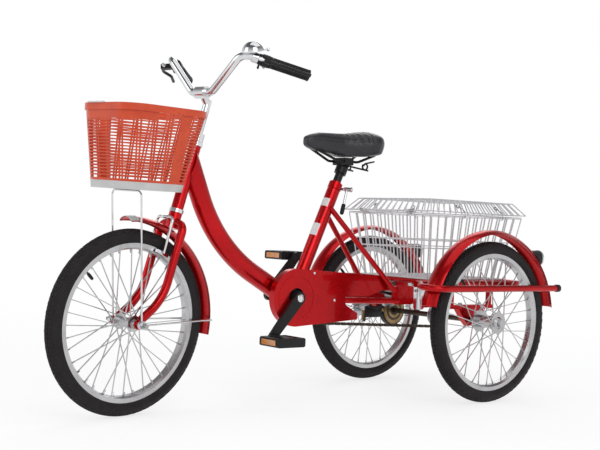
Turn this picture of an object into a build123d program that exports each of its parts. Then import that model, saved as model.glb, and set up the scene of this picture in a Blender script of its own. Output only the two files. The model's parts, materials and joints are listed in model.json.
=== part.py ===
"""Adult tricycle with a front shopping basket and a lidded wire basket over the rear wheels.

Lengths are millimetres and angles degrees. The pieces are placed with X forward, Y to the
rider's left and Z up, and with X = 0 at the rear axle. At the end all of them move along X
together, so that the origin is on the ground below the middle of the tricycle's length.
"""
from build123d import *
from math import cos, pi, radians, sin, tan
import os

# Clearances
running_gap = 0.05
seat_gap = 0.3
moving_gap = 1.0

# Wheels
wheel_radius = 248
tyre_width = 48
rim_radius = 211
rim_depth = 17
rim_width = 32
rim_flange = 2.5
rim_well = 5
spoke_count = 36
spoke_size = 2.4
spoke_lead = 50
wheelbase = 1121
track = 550

# Hubs and axles
front_axle_radius = 5
front_hub_flange_radius = 21
front_hub_spacing = 58
front_hub_barrel = 13
front_hub_width = 89
rear_axle_radius = 8.5
rear_hub_flange_radius = 33
rear_hub_spacing = 70
rear_hub_barrel = 19
rear_hub_width = 92
hub_flange_thickness = 4
axle_nut_radius = 9
axle_nut_thickness = 9
axle_outer_nut_thickness = 6
axle_free_end = 10

# Steering
head_angle = 74
fork_offset = 56
steering_at_rest = 7.15
head_tube_foot = 316
head_tube_length = 183
head_tube_radius = 17
headset_radius = 20
headset_height = 10
locknut_radius = 18.5
locknut_height = 26
steerer_radius = 12.7
stem_radius = 11.1
stem_height = 634
stem_barrel_width = 40
stem_barrel_wall = 6
fork_spread = 48
fork_blade_radius = 11.5
fork_crown_radius = 18
fork_neck = 284
fork_shoulder = 270
fork_bend = 66
fork_bends = (24, 150)
dropout_thickness = 5
dropout_radius = 13

# Front brake
brake_pivot = 294
brake_bolt_radius = 5
brake_bolt_length = 24
brake_arm_radius = 4
brake_arm_bend = 12
brake_pad_gap = 5
brake_pad_thickness = 9
brake_pad_length = 40
brake_pad_height = 8
brake_pad_angle = 24

# Handlebar
bar_radius = 11.1
bar_clamp_x = 912
bar_clamp_height = 876
bar_rise_y = 40
bar_shoulder = (910, 150, 978)
bar_tip = (754, 254, 934)
bar_bends = (30, 35)
grip_radius = 16
grip_length = 122
grip_cap = 6
lever_clamp_radius = 17
lever_clamp_width = 20
lever_reach = 46
lever_thickness = 9
bell_radius = 31
bell_height = 26
bell_post_radius = 6

# Front basket
basket_rim_height = 815
basket_rim_x = 1098
basket_rim_length = 282
basket_rim_width = 236
basket_floor_height = 598
basket_floor_x = 1116
basket_floor_length = 220
basket_floor_width = 184
basket_wall = 3
basket_corner = 62
basket_rim_band = 18
basket_rim_lip = 4
basket_base_height = 20
basket_foot_band = 6
basket_slats = 20
basket_slat_height = 3.4
basket_ribs = 18
basket_rib_width = 4
basket_rib_gap = 4.5
basket_panel_width = 34
basket_panel_share = 0.36
basket_apron_depth = 40
basket_apron_length = 92
stay_rod_radius = 2.6

# Frame tubes
main_tube_radius = 28
main_tube_joint = 449
main_tube_corner = (844, 0, 452)
main_tube_bend = 430
bracket_x = 591
bracket_height = 311.5
bracket_shell_radius = 24
bracket_shell_width = 68
spindle_radius = 8
seat_tube_radius = 20
seat_tube_angle = 66
seat_tube_setback = 31
seat_tube_length = 350
seat_lug_radius = 17
seat_lug_length = 28
seat_post_radius = 12.7
seat_post_insertion = 60
seat_post_height = 710
chain_stay_radius = 9.5
chain_stay_front = (591, 28, 303)
chain_stay_bend = (500, 29, 302)
chain_stay_bend_radius = 120
chain_stay_rear = (190, 66, 298)
seat_stay_radius = 8
seat_stay_top = 292
seat_stay_top_y = 17
seat_stay_foot = (205, 68, 328)
tail_plate_front = 212
tail_plate_rear = 127
tail_plate_foot = 287
tail_plate_top = 345
tail_plate_y = 66
tail_plate_thickness = 12
tail_tube_x = 150
tail_tube_drop = 14
plate_corner = 10
case_boss_x = 446
latch_rear = 77
latch_foot = 270
latch_barrel_radius = 8
bracket_plate_rear = 22
bracket_plate_foot = 276

# Rear carrier
carrier_tube_radius = 10
carrier_height = 360
carrier_front = 245
carrier_rear = -250
carrier_half_width = 195
carrier_corner = 40
cross_tubes = (-87, 30, 87)
cross_tube_radius = 9.5
guard_stand_off = 47
guard_height = 354
guard_front = 345
guard_rear = 262
guard_corner = 45
guard_tab_radius = 4
guard_cap_length = 14
guard_cap_radius = 12
hanger_spread = 87
hanger_plate_height = 283
hanger_plate_thickness = 12
hanger_plate_width = 22
bearing_width = 22
bearing_foot = 228
bearing_top_half = 62
bearing_boss_radius = 20

# Mudguards
mudguard_wall = 2
mudguard_drop = 13
rear_mudguard_radius = 284
rear_mudguard_width = 62
rear_mudguard_angles = (11, 171)
front_mudguard_radius = 280
front_mudguard_width = 54
front_mudguard_angles = (85, 189)

# Tail lamps
lamp_height = 447
lamp_y = 270
lamp_radius = 25
lamp_rear = 230
lens_depth = 14

# Drive
chain_pitch = 12.7
chainring_teeth = 36
sprocket_teeth = 18
chain_line = 43
chain_width = 7
chain_plate_height = 9
chain_inner_width = 4.6
chain_waist = 1.2
chain_link_overlap = 4
tooth_thickness = 3
case_inner_y = 36.5
case_outer_y = 59.5
case_arm_y = 49.3
case_wall = 2
case_radius = 84
case_step = 402
case_knee = (294, 378)
case_rear = (220, 370)
case_rear_foot = 336
case_arm_foot = 314
case_notch = 289
case_tail = (352, 262)
case_tail_foot = 243
case_boss_radius = 5
case_hole_gap = 8
case_ring_radius = 66
crank_at_rest = (98.5, -116.4)
crank_inner_y = 65.5
crank_thickness = 12
crank_boss_radius = 20
crank_end_radius = 12
pedal_spindle_radius = 6
pedal_length = 98
pedal_width = 84
pedal_height = 26
pedal_window = 20
pedal_window_pitch = 25
pedal_barrel = 12
pedal_stand_off = 6
brake_drum_y = -155
brake_drum_radius = 46
brake_drum_width = 20
brake_band_thickness = 4

# Saddle
saddle_front = 540
saddle_rear = 262
saddle_half_width = 102
saddle_nose_half_width = 24
saddle_under = 745
saddle_thickness = 71
saddle_dip_depth = 16
saddle_nose_rise = 12
rail_radius = 4
rail_spread = 22

# Rear basket and lid
basket_wire = 3.2
rear_rim_front = 183
rear_rim_rear = -243
rear_rim_half_width = 187
rear_floor_front = 155
rear_floor_rear = -205
rear_floor_half_width = 155
rear_rim_height = 572
rear_basket_belt = (0.48, 0.6)
rear_wire_pitch = 29
rear_floor_wires = (0.25, 0.5, 0.75)
lid_wires = (0.33, 0.67)
lid_front = 193
lid_rear = -253
lid_half_width = 197
lid_height = 582
lid_top = 620
lid_inset = 32
hinge_rod_radius = 2.4
hinge_loop_radius = 5
hinge_loop_width = 14
hinge_y = 98.5


def head_axis_x(height):
    """X of the steering axis at a height above the ground."""
    foot = wheelbase - fork_offset / sin(radians(head_angle))
    return foot - (height - wheel_radius) / tan(radians(head_angle))


guard_y = track / 2 + guard_stand_off
saddle_top = saddle_under + saddle_thickness
saddle_dip = saddle_top - saddle_dip_depth
head_direction = Vector(-cos(radians(head_angle)), 0, sin(radians(head_angle)))
head_foot = Vector(head_axis_x(wheel_radius), 0, wheel_radius)
steering_axis = Axis(tuple(head_foot), tuple(head_direction))
head_tube_top = head_tube_foot + head_tube_length
axle_face_y = fork_spread + dropout_thickness / 2 + seat_gap
rod_eye_y = axle_face_y + axle_nut_thickness + seat_gap + stay_rod_radius
stay_eye_y = rod_eye_y + 2 * stay_rod_radius + seat_gap
outer_nut_y = stay_eye_y + stay_rod_radius + seat_gap


def on_head_axis(distance):
    """Point on the steering axis at a distance up from the height of the wheel centres."""
    return head_foot + head_direction * distance


def seat_point(distance):
    """Point on the seat tube's axis at a distance up from the bottom bracket's height."""
    angle = radians(seat_tube_angle)
    return Vector(bracket_x - seat_tube_setback - distance * cos(angle), 0,
                  bracket_height + distance * sin(angle))


def rod(start, end, radius):
    """Straight round bar between two points."""
    start, end = Vector(*start), Vector(*end)
    return extrude(Plane(origin=start, z_dir=end - start) * Circle(radius), (end - start).length)


def cross_bar(x, height, radius, y_low, y_high):
    """Round bar parallel to Y."""
    return rod((x, y_low, height), (x, y_high, height), radius)


def bent_tube(points, radius, bends):
    """Round tube along straight runs joined by arcs; bends is one radius or one for each corner."""
    path = FilletPolyline(*points, radius=bends)
    return sweep(Plane(origin=path @ 0, z_dir=path % 0) * Circle(radius), path=path)


def side_plate(face, y_low, y_high):
    """Plate between two Y planes, from a face drawn with X across and Z up."""
    plane = Plane(origin=(0, y_high, 0), x_dir=(1, 0, 0), z_dir=(0, -1, 0))
    return extrude(plane * face, y_high - y_low)


def polygon(*corners):
    """Flat face inside straight edges."""
    return make_face(Polyline(*corners, close=True))


def dome(radius, height):
    """Cap of a sphere that stands on the XY plane."""
    ball = (radius ** 2 + height ** 2) / (2 * height)
    return Pos(0, 0, height - ball) * Sphere(ball) - Pos(0, 0, -ball) * Box(4 * ball, 4 * ball, 2 * ball)


def mirrored(shape):
    """The same piece on the other side of the tricycle."""
    return mirror(shape, about=Plane.XZ)


def pair(shape):
    """A piece and its mirror image, as two solids of one sub-part."""
    return Compound([*shape.solids(), *mirrored(shape).solids()])


# Wheels, made about the Y axis at the origin

def make_tyre():
    """Tyre with its beads down between the rim's flanges."""
    section = Pos(wheel_radius - tyre_width / 2, 0) * Circle(tyre_width / 2)
    well = rim_radius - rim_well + seat_gap
    bead_half = rim_width / 2 - rim_flange - seat_gap
    section -= Pos(well / 2, 0) * Rectangle(well, tyre_width)
    for side in (1, -1):
        shoulder = Rectangle(rim_radius + seat_gap - well + 1, tyre_width)
        section -= Pos((rim_radius + seat_gap + well - 1) / 2, side * (bead_half + tyre_width / 2)) * shoulder
    return revolve(section, Axis.Y, 360)


def make_rim():
    """Alloy rim with a shallow well between its flanges."""
    half = rim_width / 2
    inner = rim_radius - rim_depth
    well = rim_radius - rim_well
    section = polygon((inner, -half * 0.55), (inner, half * 0.55), (inner + rim_well, half), (rim_radius, half),
                      (rim_radius, half - rim_flange), (well, half - rim_flange),
                      (well, rim_flange - half), (rim_radius, rim_flange - half), (rim_radius, -half),
                      (inner + rim_well, -half))
    return revolve(section, Axis.Y, 360)


def make_hub(spacing, flange_radius, barrel_radius, width, axle_radius):
    """Hub barrel with two spoke flanges and a bore for its axle."""
    inner = spacing / 2
    outer = inner + hub_flange_thickness
    bore = axle_radius + running_gap
    boss = (barrel_radius + axle_radius) / 2
    section = polygon((bore, -width / 2), (boss, -width / 2), (barrel_radius, -outer), (flange_radius, -outer),
                      (flange_radius, -inner), (barrel_radius, -inner), (barrel_radius, inner),
                      (flange_radius, inner), (flange_radius, outer), (barrel_radius, outer),
                      (boss, width / 2), (bore, width / 2))
    return revolve(section, Axis.Y, 360)


def make_spokes(spacing, flange_radius):
    """Crossed spokes that go by turns to the two flanges, leading and trailing."""
    spokes = []
    hole_radius = flange_radius - hub_flange_thickness
    seat_radius = rim_radius - rim_depth + 1
    flange_y = (spacing + hub_flange_thickness) / 2
    for index in range(spoke_count):
        side = 1 if index % 2 else -1
        lead = radians(spoke_lead if (index // 2) % 2 else -spoke_lead)
        angle = 2 * pi * index / spoke_count
        foot = Vector(hole_radius * cos(angle + lead), side * flange_y, hole_radius * sin(angle + lead))
        tip = Vector(seat_radius * cos(angle), side * 2, seat_radius * sin(angle))
        plane = Plane(origin=foot, z_dir=tip - foot)
        spokes.append(extrude(plane * Rectangle(spoke_size, spoke_size), (tip - foot).length))
    return spokes


def make_wheel(spacing, flange_radius, barrel_radius, width, axle_radius):
    """Rim, spokes and hub as one laced wheel."""
    hub = make_hub(spacing, flange_radius, barrel_radius, width, axle_radius)
    return make_rim().fuse(hub, *make_spokes(spacing, flange_radius))


# Fork and what it carries, made with the wheel straight ahead

def make_fork():
    """Steerer, crown race and two raked blades with drop-outs."""
    crown = head_tube_foot - headset_height
    lead = fork_offset / tan(radians(head_angle))
    crown_foot = ((front_mudguard_radius + seat_gap) ** 2 - (fork_offset - fork_crown_radius) ** 2) ** 0.5 - lead
    steerer = rod(on_head_axis(crown - 20), on_head_axis(head_tube_top + headset_height + locknut_height),
                  steerer_radius)
    race = rod(on_head_axis(crown_foot), on_head_axis(crown - moving_gap), fork_crown_radius)
    neck = on_head_axis(fork_neck)
    shoulder = on_head_axis(fork_shoulder)
    knee = on_head_axis(fork_bend)
    blade = bent_tube([(neck.X, 0, neck.Z), (shoulder.X, fork_spread, shoulder.Z),
                       (knee.X, fork_spread, knee.Z), (wheelbase - 6, fork_spread, wheel_radius + 10)],
                      fork_blade_radius, fork_bends)
    ear = cross_bar(wheelbase, wheel_radius, dropout_radius, fork_spread - dropout_thickness / 2,
                    fork_spread + dropout_thickness / 2)
    clear = cross_bar(wheelbase, wheel_radius, dropout_radius + 1, 0, fork_spread - dropout_thickness / 2)
    clear += cross_bar(wheelbase, wheel_radius, dropout_radius + 1, fork_spread + dropout_thickness / 2,
                       fork_spread + 30)
    hole = cross_bar(wheelbase, wheel_radius, front_axle_radius + running_gap, 0, fork_spread + 30)
    leg = blade - clear + ear - hole
    return steerer + race + leg + mirrored(leg)


def make_front_axle():
    """Axle with a nut outside each drop-out and one outside the stays' eyes."""
    end = outer_nut_y + axle_outer_nut_thickness + axle_free_end
    axle = cross_bar(wheelbase, wheel_radius, front_axle_radius, -end, end)
    for low, thickness in ((axle_face_y, axle_nut_thickness), (outer_nut_y, axle_outer_nut_thickness)):
        plane = Plane(origin=(wheelbase, low, wheel_radius), x_dir=(1, 0, 0), z_dir=(0, 1, 0))
        nut = extrude(plane * RegularPolygon(axle_nut_radius, 6), thickness)
        axle += nut + mirrored(nut)
    return axle


def make_locknut():
    """Headset's upper locknut, around the steerer's top."""
    low = head_tube_top + headset_height + moving_gap
    high = head_tube_top + headset_height + locknut_height
    return rod(on_head_axis(low), on_head_axis(high), locknut_radius) - rod(
        on_head_axis(low - 5), on_head_axis(high + 5), steerer_radius + running_gap)


def make_stem():
    """Quill stem whose short neck ends in a clamp barrel around the bar."""
    foot = head_tube_top + headset_height + locknut_height + running_gap
    quill = rod(on_head_axis(foot), on_head_axis(stem_height), stem_radius)
    neck = rod(on_head_axis(stem_height - stem_radius), (bar_clamp_x, 0, bar_clamp_height), stem_radius)
    barrel = cross_bar(bar_clamp_x, bar_clamp_height, bar_radius + stem_barrel_wall, -stem_barrel_width / 2,
                       stem_barrel_width / 2)
    bore = cross_bar(bar_clamp_x, bar_clamp_height, bar_radius + running_gap, -stem_barrel_width,
                     stem_barrel_width)
    return quill + neck + barrel - bore


def make_handlebar(radius=bar_radius):
    """High-rise bar swept back to the grips."""
    left = [(bar_clamp_x, bar_rise_y, bar_clamp_height), bar_shoulder, bar_tip]
    right = [(x, -y, z) for x, y, z in reversed(left)]
    return bent_tube(right + left, radius, [*reversed(bar_bends), *bar_bends])


def on_grip(distance):
    """Plane across the left grip at a distance inward from the bar's end, facing outward."""
    direction = (Vector(*bar_tip) - Vector(*bar_shoulder)).normalized()
    return Plane(origin=Vector(*bar_tip) - direction * distance, x_dir=(0.62, 0.78, -0.1), z_dir=direction)


def make_grips():
    """Rubber grips over the two ends of the bar."""
    length = grip_length - grip_cap
    around = Circle(grip_radius) - Circle(bar_radius + running_gap)
    sleeve = extrude(on_grip(length) * around, length + running_gap)
    cap = extrude(on_grip(-running_gap) * Circle(grip_radius), grip_cap)
    return pair(sleeve + cap)


def make_brake_levers():
    """Lever clamps beside the grips, with blades that reach outward in front of them."""
    inner = grip_length - grip_cap + seat_gap
    middle = inner + lever_clamp_width / 2
    clamp = extrude(on_grip(inner + lever_clamp_width) * Circle(lever_clamp_radius), lever_clamp_width)
    perch = on_grip(middle) * Pos(lever_reach / 2, 0, 0) * Box(
        lever_reach, lever_thickness + 5, lever_clamp_width - 4)
    route = [on_grip(middle - along) * Pos(lever_reach + ahead, 0, 0) for ahead, along in
             ((-4, -4), (4, 34), (-8, 78), (-2, 122))]
    blade = bent_tube([tuple(place.position) for place in route], lever_thickness / 2, 40)
    bore = extrude(on_grip(inner + lever_clamp_width + 10) * Circle(bar_radius + running_gap),
                   lever_clamp_width + 20)
    return pair(clamp + perch + blade - bore)


def make_bell():
    """Domed bell on a clamp just inboard of the left lever."""
    plane = on_grip(grip_length + lever_clamp_width + 14)
    clamp = extrude(plane * Circle(bar_radius + 4), 8, both=True)
    base = plane.origin + Vector(8, 0, bar_radius + 6)
    post = rod(plane.origin, base + Vector(0, 0, 4), bell_post_radius)
    cup = Plane(origin=base, z_dir=(0.35, 0.1, 1)) * dome(bell_radius, bell_height)
    return clamp + post + cup - make_handlebar(bar_radius + running_gap)


def basket_section(height, inset=0.0):
    """Rounded rectangle of the front basket at a height, which grows from its floor to its rim."""
    share = (height - basket_floor_height) / (basket_rim_height - basket_floor_height)
    x = basket_floor_x + share * (basket_rim_x - basket_floor_x)
    length = basket_floor_length + share * (basket_rim_length - basket_floor_length)
    width = basket_floor_width + share * (basket_rim_width - basket_floor_width)
    return Plane(origin=(x, 0, height)) * RectangleRounded(length - 2 * inset, width - 2 * inset,
                                                          basket_corner - inset)


def basket_slab(low, high):
    """Level slab across the whole front basket, between two heights."""
    return Pos(basket_floor_x, 0, (low + high) / 2) * Box(2 * basket_rim_length, 2 * basket_rim_width, high - low)


def basket_blade(share, width, foot):
    """Upright bar that crosses the front basket's wall at a share of the way round it."""
    low = basket_section(foot, basket_wall / 2).wire()
    high = basket_section(basket_rim_height, basket_wall / 2).wire()
    start, end = low @ share, high @ share
    plane = Plane(origin=start, x_dir=low % share, z_dir=end - start)
    return extrude(plane * Rectangle(width, 6 * basket_wall), (end - start).length)


def make_front_basket():
    """Slatted basket: a tapered wall of which slats, paired uprights and two broad panels are left."""
    foot = basket_floor_height + basket_base_height + seat_gap
    low = foot + basket_foot_band
    rim = basket_rim_height
    top = rim - basket_rim_band
    outer = loft([basket_section(foot), basket_section(rim)])
    inner = loft([basket_section(foot, basket_wall), basket_section(rim, basket_wall)])
    bars = [basket_slab(foot - basket_wall, low), basket_slab(top, rim + basket_wall)]
    pitch = (top - low) / (basket_slats + 1)
    for index in range(1, basket_slats + 1):
        height = low + index * pitch
        bars.append(basket_slab(height - basket_slat_height / 2, height + basket_slat_height / 2))
    around = 2 * (basket_floor_length + basket_floor_width)
    for index in range(basket_ribs):
        for side in (1, -1):
            share = (index + 0.5) / basket_ribs + side * (basket_rib_width + basket_rib_gap) / 2 / around
            bars.append(basket_blade(share, basket_rib_width, foot))
    for share in (basket_panel_share, 0.5 + basket_panel_share):
        bars.append(basket_blade(share, basket_panel_width, foot))
    front = basket_rim_x + basket_rim_length / 2
    bars.append(Pos(front, 0, rim - basket_apron_depth / 2) * Box(
        2 * basket_apron_length, 2 * basket_rim_width, basket_apron_depth))
    wall = (outer - inner) & bars[0].fuse(*bars[1:])
    band = extrude(basket_section(top, -basket_rim_lip), basket_rim_band)
    return wall + (band - inner)


def make_basket_base():
    """Shallow tray that the basket's slatted wall stands on."""
    top = basket_floor_height + basket_base_height
    outer = loft([basket_section(basket_floor_height), basket_section(top)])
    inner = loft([basket_section(basket_floor_height, basket_wall), basket_section(top, basket_wall)])
    floor = Pos(basket_floor_x, 0, basket_floor_height) * Box(
        2 * basket_floor_length, 2 * basket_floor_width, 2 * basket_wall)
    return outer - (inner - floor)


def make_basket_rods():
    """Stay rods from the front axle up to the basket's floor, joined by a bar across under it."""
    y = rod_eye_y
    top = basket_floor_height - stay_rod_radius - seat_gap
    rods = bent_tube([(wheelbase, y, wheel_radius + dropout_radius - 3), (wheelbase + 27, y, top),
                      (wheelbase + 27, -y, top), (wheelbase, -y, wheel_radius + dropout_radius - 3)],
                     stay_rod_radius, 14)
    eye = cross_bar(wheelbase, wheel_radius, dropout_radius - 2, y - stay_rod_radius, y + stay_rod_radius)
    hole = cross_bar(wheelbase, wheel_radius, front_axle_radius + running_gap, -2 * y, 2 * y)
    return rods + eye + mirrored(eye) - hole


def mudguard(radius, width, angles):
    """Curved mudguard about the Y axis; angles run from straight ahead over the top to the rear."""
    half = width / 2
    low = radius - mudguard_drop
    outside = ThreePointArc((low, -half), (radius, 0), (low, half))
    inside = ThreePointArc((low, half - mudguard_wall), (radius - mudguard_wall, 0), (low, mudguard_wall - half))
    section = make_face([outside, Line((low, half), (low, half - mudguard_wall)), inside,
                         Line((low, mudguard_wall - half), (low, -half))])
    band = revolve(section, Axis.Y, angles[1] - angles[0])
    return band.rotate(Axis.Y, -angles[1])


def make_front_mudguard():
    """Front mudguard over the wheel, behind the fork."""
    return Pos(wheelbase, 0, wheel_radius) * mudguard(front_mudguard_radius, front_mudguard_width,
                                                      front_mudguard_angles)


def make_mudguard_stay():
    """Wire stay from the front axle's ends back to the edges of the front mudguard."""
    y = stay_eye_y
    reach = front_mudguard_radius - mudguard_drop + seat_gap
    edge = front_mudguard_width / 2 + seat_gap + stay_rod_radius
    tip_x = wheelbase - reach - stay_rod_radius
    start = (wheelbase - dropout_radius + 3, y, wheel_radius)
    arm = bent_tube([start, (tip_x + 40, edge, wheel_radius), (tip_x, edge, wheel_radius)], stay_rod_radius, 40)
    eye = cross_bar(wheelbase, wheel_radius, dropout_radius - 2, y - stay_rod_radius, y + stay_rod_radius)
    hole = cross_bar(wheelbase, wheel_radius, front_axle_radius + running_gap, 0, 2 * y)
    return pair(arm + eye - hole)


def make_front_brake():
    """Side-pull brake on the fork's crown, with two arms that go round the mudguard to the rim's pads."""
    crown = on_head_axis(brake_pivot)
    x = crown.X + fork_crown_radius / sin(radians(head_angle)) + seat_gap
    bolt = rod((crown.X, 0, crown.Z), (x + brake_bolt_length, 0, crown.Z), brake_bolt_radius)
    bolt -= rod(on_head_axis(fork_shoulder), on_head_axis(head_tube_foot), fork_crown_radius + seat_gap)
    arm_y = rim_width / 2 + brake_pad_gap + brake_pad_thickness + brake_arm_radius - 1
    track_radius = rim_radius - rim_depth / 2
    pad_x = wheelbase - track_radius * sin(radians(brake_pad_angle))
    pad_z = wheel_radius + track_radius * cos(radians(brake_pad_angle))
    arm_x = x + brake_bolt_length / 2
    arm = bent_tube([(arm_x, 0, crown.Z), (arm_x, arm_y, crown.Z), (pad_x, arm_y, pad_z)], brake_arm_radius,
                    brake_arm_bend)
    pad = Pos(pad_x, rim_width / 2 + brake_pad_gap + brake_pad_thickness / 2, pad_z) * Rot(
        0, -brake_pad_angle, 0) * Box(brake_pad_length, brake_pad_thickness, brake_pad_height)
    return bolt + arm + pad + mirrored(arm + pad)


# Frame

def make_front_frame():
    """Head tube, curved step-through main tube, bottom bracket shell and seat tube, welded together."""
    head = rod(on_head_axis(head_tube_foot), on_head_axis(head_tube_top), head_tube_radius)
    corner = Vector(*main_tube_corner)
    joint = on_head_axis(main_tube_joint)
    start = joint + (joint - corner).normalized() * (2 * main_tube_radius)
    bracket = Vector(bracket_x, 0, bracket_height)
    tube = bent_tube([tuple(start), tuple(corner), tuple(bracket)], main_tube_radius, main_tube_bend)
    across = Plane(origin=joint, z_dir=(sin(radians(head_angle)), 0, cos(radians(head_angle))))
    tube = split(tube, bisect_by=across, keep=Keep.BOTTOM)
    lug = Pos(*bracket) * Sphere(main_tube_radius)
    shell = cross_bar(bracket_x, bracket_height, bracket_shell_radius, -bracket_shell_width / 2,
                      bracket_shell_width / 2)
    seat_tube = rod(seat_point(0), seat_point(seat_tube_length), seat_tube_radius)
    seat_lug = rod(seat_point(seat_tube_length), seat_point(seat_tube_length + seat_lug_length), seat_lug_radius)
    upper = seat_point(80)
    case_arm = cross_bar(upper.X, upper.Z + 3, case_boss_radius, 0, case_inner_y - seat_gap)
    frame = head + tube + lug + shell + seat_tube + seat_lug + case_arm
    head_bore = rod(on_head_axis(head_tube_foot - 5), on_head_axis(head_tube_top + 5),
                    steerer_radius + running_gap)
    shell_bore = cross_bar(bracket_x, bracket_height, spindle_radius + running_gap, -bracket_shell_width,
                           bracket_shell_width)
    top = seat_tube_length + seat_lug_length
    post_bore = rod(seat_point(top - seat_post_insertion - 2), seat_point(top + 5),
                    seat_post_radius + running_gap)
    return frame - head_bore - shell_bore - post_bore


def upright_plate(x_low, x_high, z_low, z_high):
    """Upright plate on the left side, in line with the tail of the stays."""
    half = tail_plate_thickness / 2
    face = Pos((x_low + x_high) / 2, (z_low + z_high) / 2) * Rectangle(x_high - x_low, z_high - z_low)
    return side_plate(face, tail_plate_y - half, tail_plate_y + half)


def make_rear_stays():
    """Chain stays and seat stays that spread to a plate on each side, with a tube between the plates."""
    top = seat_point(seat_stay_top)
    chain_stay = bent_tube([chain_stay_front, chain_stay_bend, chain_stay_rear], chain_stay_radius,
                           chain_stay_bend_radius)
    seat_stay = rod((top.X, seat_stay_top_y, top.Z), seat_stay_foot, seat_stay_radius)
    plate = upright_plate(tail_plate_rear, tail_plate_front, tail_plate_foot, tail_plate_top)
    plate = fillet(plate.edges().filter_by(Axis.Y), plate_corner)
    side = chain_stay + seat_stay + plate
    boss_y, boss_z = chain_stay_front[1], chain_stay_front[2]
    boss = cross_bar(case_boss_x, boss_z, case_boss_radius, boss_y, case_outer_y - case_wall - seat_gap)
    tube = cross_bar(tail_tube_x, tail_plate_top - tail_tube_drop, seat_stay_radius, -tail_plate_y, tail_plate_y)
    keep_off = cross_bar(bracket_x, bracket_height, bracket_shell_radius + seat_gap, -bracket_shell_width,
                         bracket_shell_width)
    keep_off += rod(seat_point(-20), seat_point(seat_tube_length), seat_tube_radius + seat_gap)
    keep_off += Pos(bracket_x, 0, bracket_height) * Sphere(main_tube_radius + seat_gap)
    return side + mirrored(side) + tube + boss - keep_off


def make_frame_latches():
    """Chrome latches that join the stays' plates to the carrier's bracket plates."""
    half = tail_plate_thickness / 2
    top = carrier_height - cross_tube_radius - seat_gap
    body = upright_plate(latch_rear + seat_gap, tail_plate_rear - seat_gap, latch_foot, top)
    body = fillet(body.edges().filter_by(Axis.Y), plate_corner)
    middle_x = (latch_rear + tail_plate_rear) / 2
    barrel = rod((middle_x, tail_plate_y + half, latch_foot), (middle_x, tail_plate_y + half, top),
                 latch_barrel_radius)
    return pair(body + barrel)


def carrier_loop(radius):
    """Carrier's side tubes, joined by a tube across at the rear."""
    front, rear, y, z = carrier_front, carrier_rear, carrier_half_width, carrier_height
    return bent_tube([(front, y, z), (rear, y, z), (rear, -y, z), (front, -y, z)], radius, carrier_corner)


def make_carrier_frame():
    """Carrier frame, open at the front, with cross tubes, bracket plates and hangers for the axle."""
    y, r = carrier_half_width, carrier_tube_radius
    frame = carrier_loop(r)
    for tube_x in cross_tubes:
        frame += cross_bar(tube_x, carrier_height, cross_tube_radius, -y, y)
    plate = upright_plate(bracket_plate_rear, latch_rear, bracket_plate_foot, carrier_height - 4)
    frame += plate + mirrored(plate)
    for side in (1, -1):
        for post in (-hanger_spread, hanger_spread):
            frame += rod((post, side * y, hanger_plate_height), (post, side * y, carrier_height),
                         cross_tube_radius)
        frame += Pos(0, side * y, hanger_plate_height + hanger_plate_thickness / 2) * Box(
            2 * (hanger_spread + r), hanger_plate_width, hanger_plate_thickness)
    return frame


def make_guard_bars():
    """Guard bars outside the rear wheels, bent in at the front to the carrier's corners."""
    y, z = guard_y, guard_height
    inner = (carrier_front - 2 * carrier_tube_radius, carrier_half_width, carrier_height)
    bar = bent_tube([(-guard_rear, y, z), (guard_front, y, z), inner], carrier_tube_radius, guard_corner)
    outer_y = track / 2 + rear_mudguard_width / 2 + seat_gap
    rise = guard_height - wheel_radius
    reach = ((rear_mudguard_radius - mudguard_drop + 1.5) ** 2 - rise ** 2) ** 0.5
    for tab_x in (reach, -reach):
        bar += rod((tab_x, outer_y, z), (tab_x, y, z), guard_tab_radius)
    bar -= carrier_loop(carrier_tube_radius + seat_gap)
    return pair(bar.solids().sort_by(SortBy.VOLUME)[-1])


def make_guard_end_caps():
    """Plastic caps over the rear ends of the guard loop."""
    start = (-guard_rear - seat_gap, guard_y, guard_height)
    end = (-guard_rear - guard_cap_length, guard_y, guard_height)
    return pair(rod(start, end, guard_cap_radius))


def make_bearing_blocks():
    """Five-sided bearing blocks that hang under the hanger plates and hold the rear axle."""
    top = hanger_plate_height - seat_gap
    face = polygon((-bearing_top_half, top), (bearing_top_half, top), (bearing_top_half * 0.55, wheel_radius),
                   (bearing_boss_radius * 0.6, bearing_foot), (-bearing_boss_radius * 0.6, bearing_foot),
                   (-bearing_top_half * 0.55, wheel_radius))
    y = carrier_half_width
    block = side_plate(face, y - bearing_width / 2, y + bearing_width / 2)
    bore = cross_bar(0, wheel_radius, rear_axle_radius + running_gap, y - 40, y + 40)
    return pair(block - bore)


# Drive

def pitch_radius(teeth):
    """Radius of the circle through the chain's pins."""
    return chain_pitch / (2 * sin(pi / teeth))


def belt_face(front_radius, rear_radius):
    """Face inside a belt around the bottom bracket and the rear axle."""
    front = Pos(bracket_x, bracket_height) * Circle(front_radius)
    rear = Pos(0, wheel_radius) * Circle(rear_radius)
    return make_hull(front.edges() + rear.edges())


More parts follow.
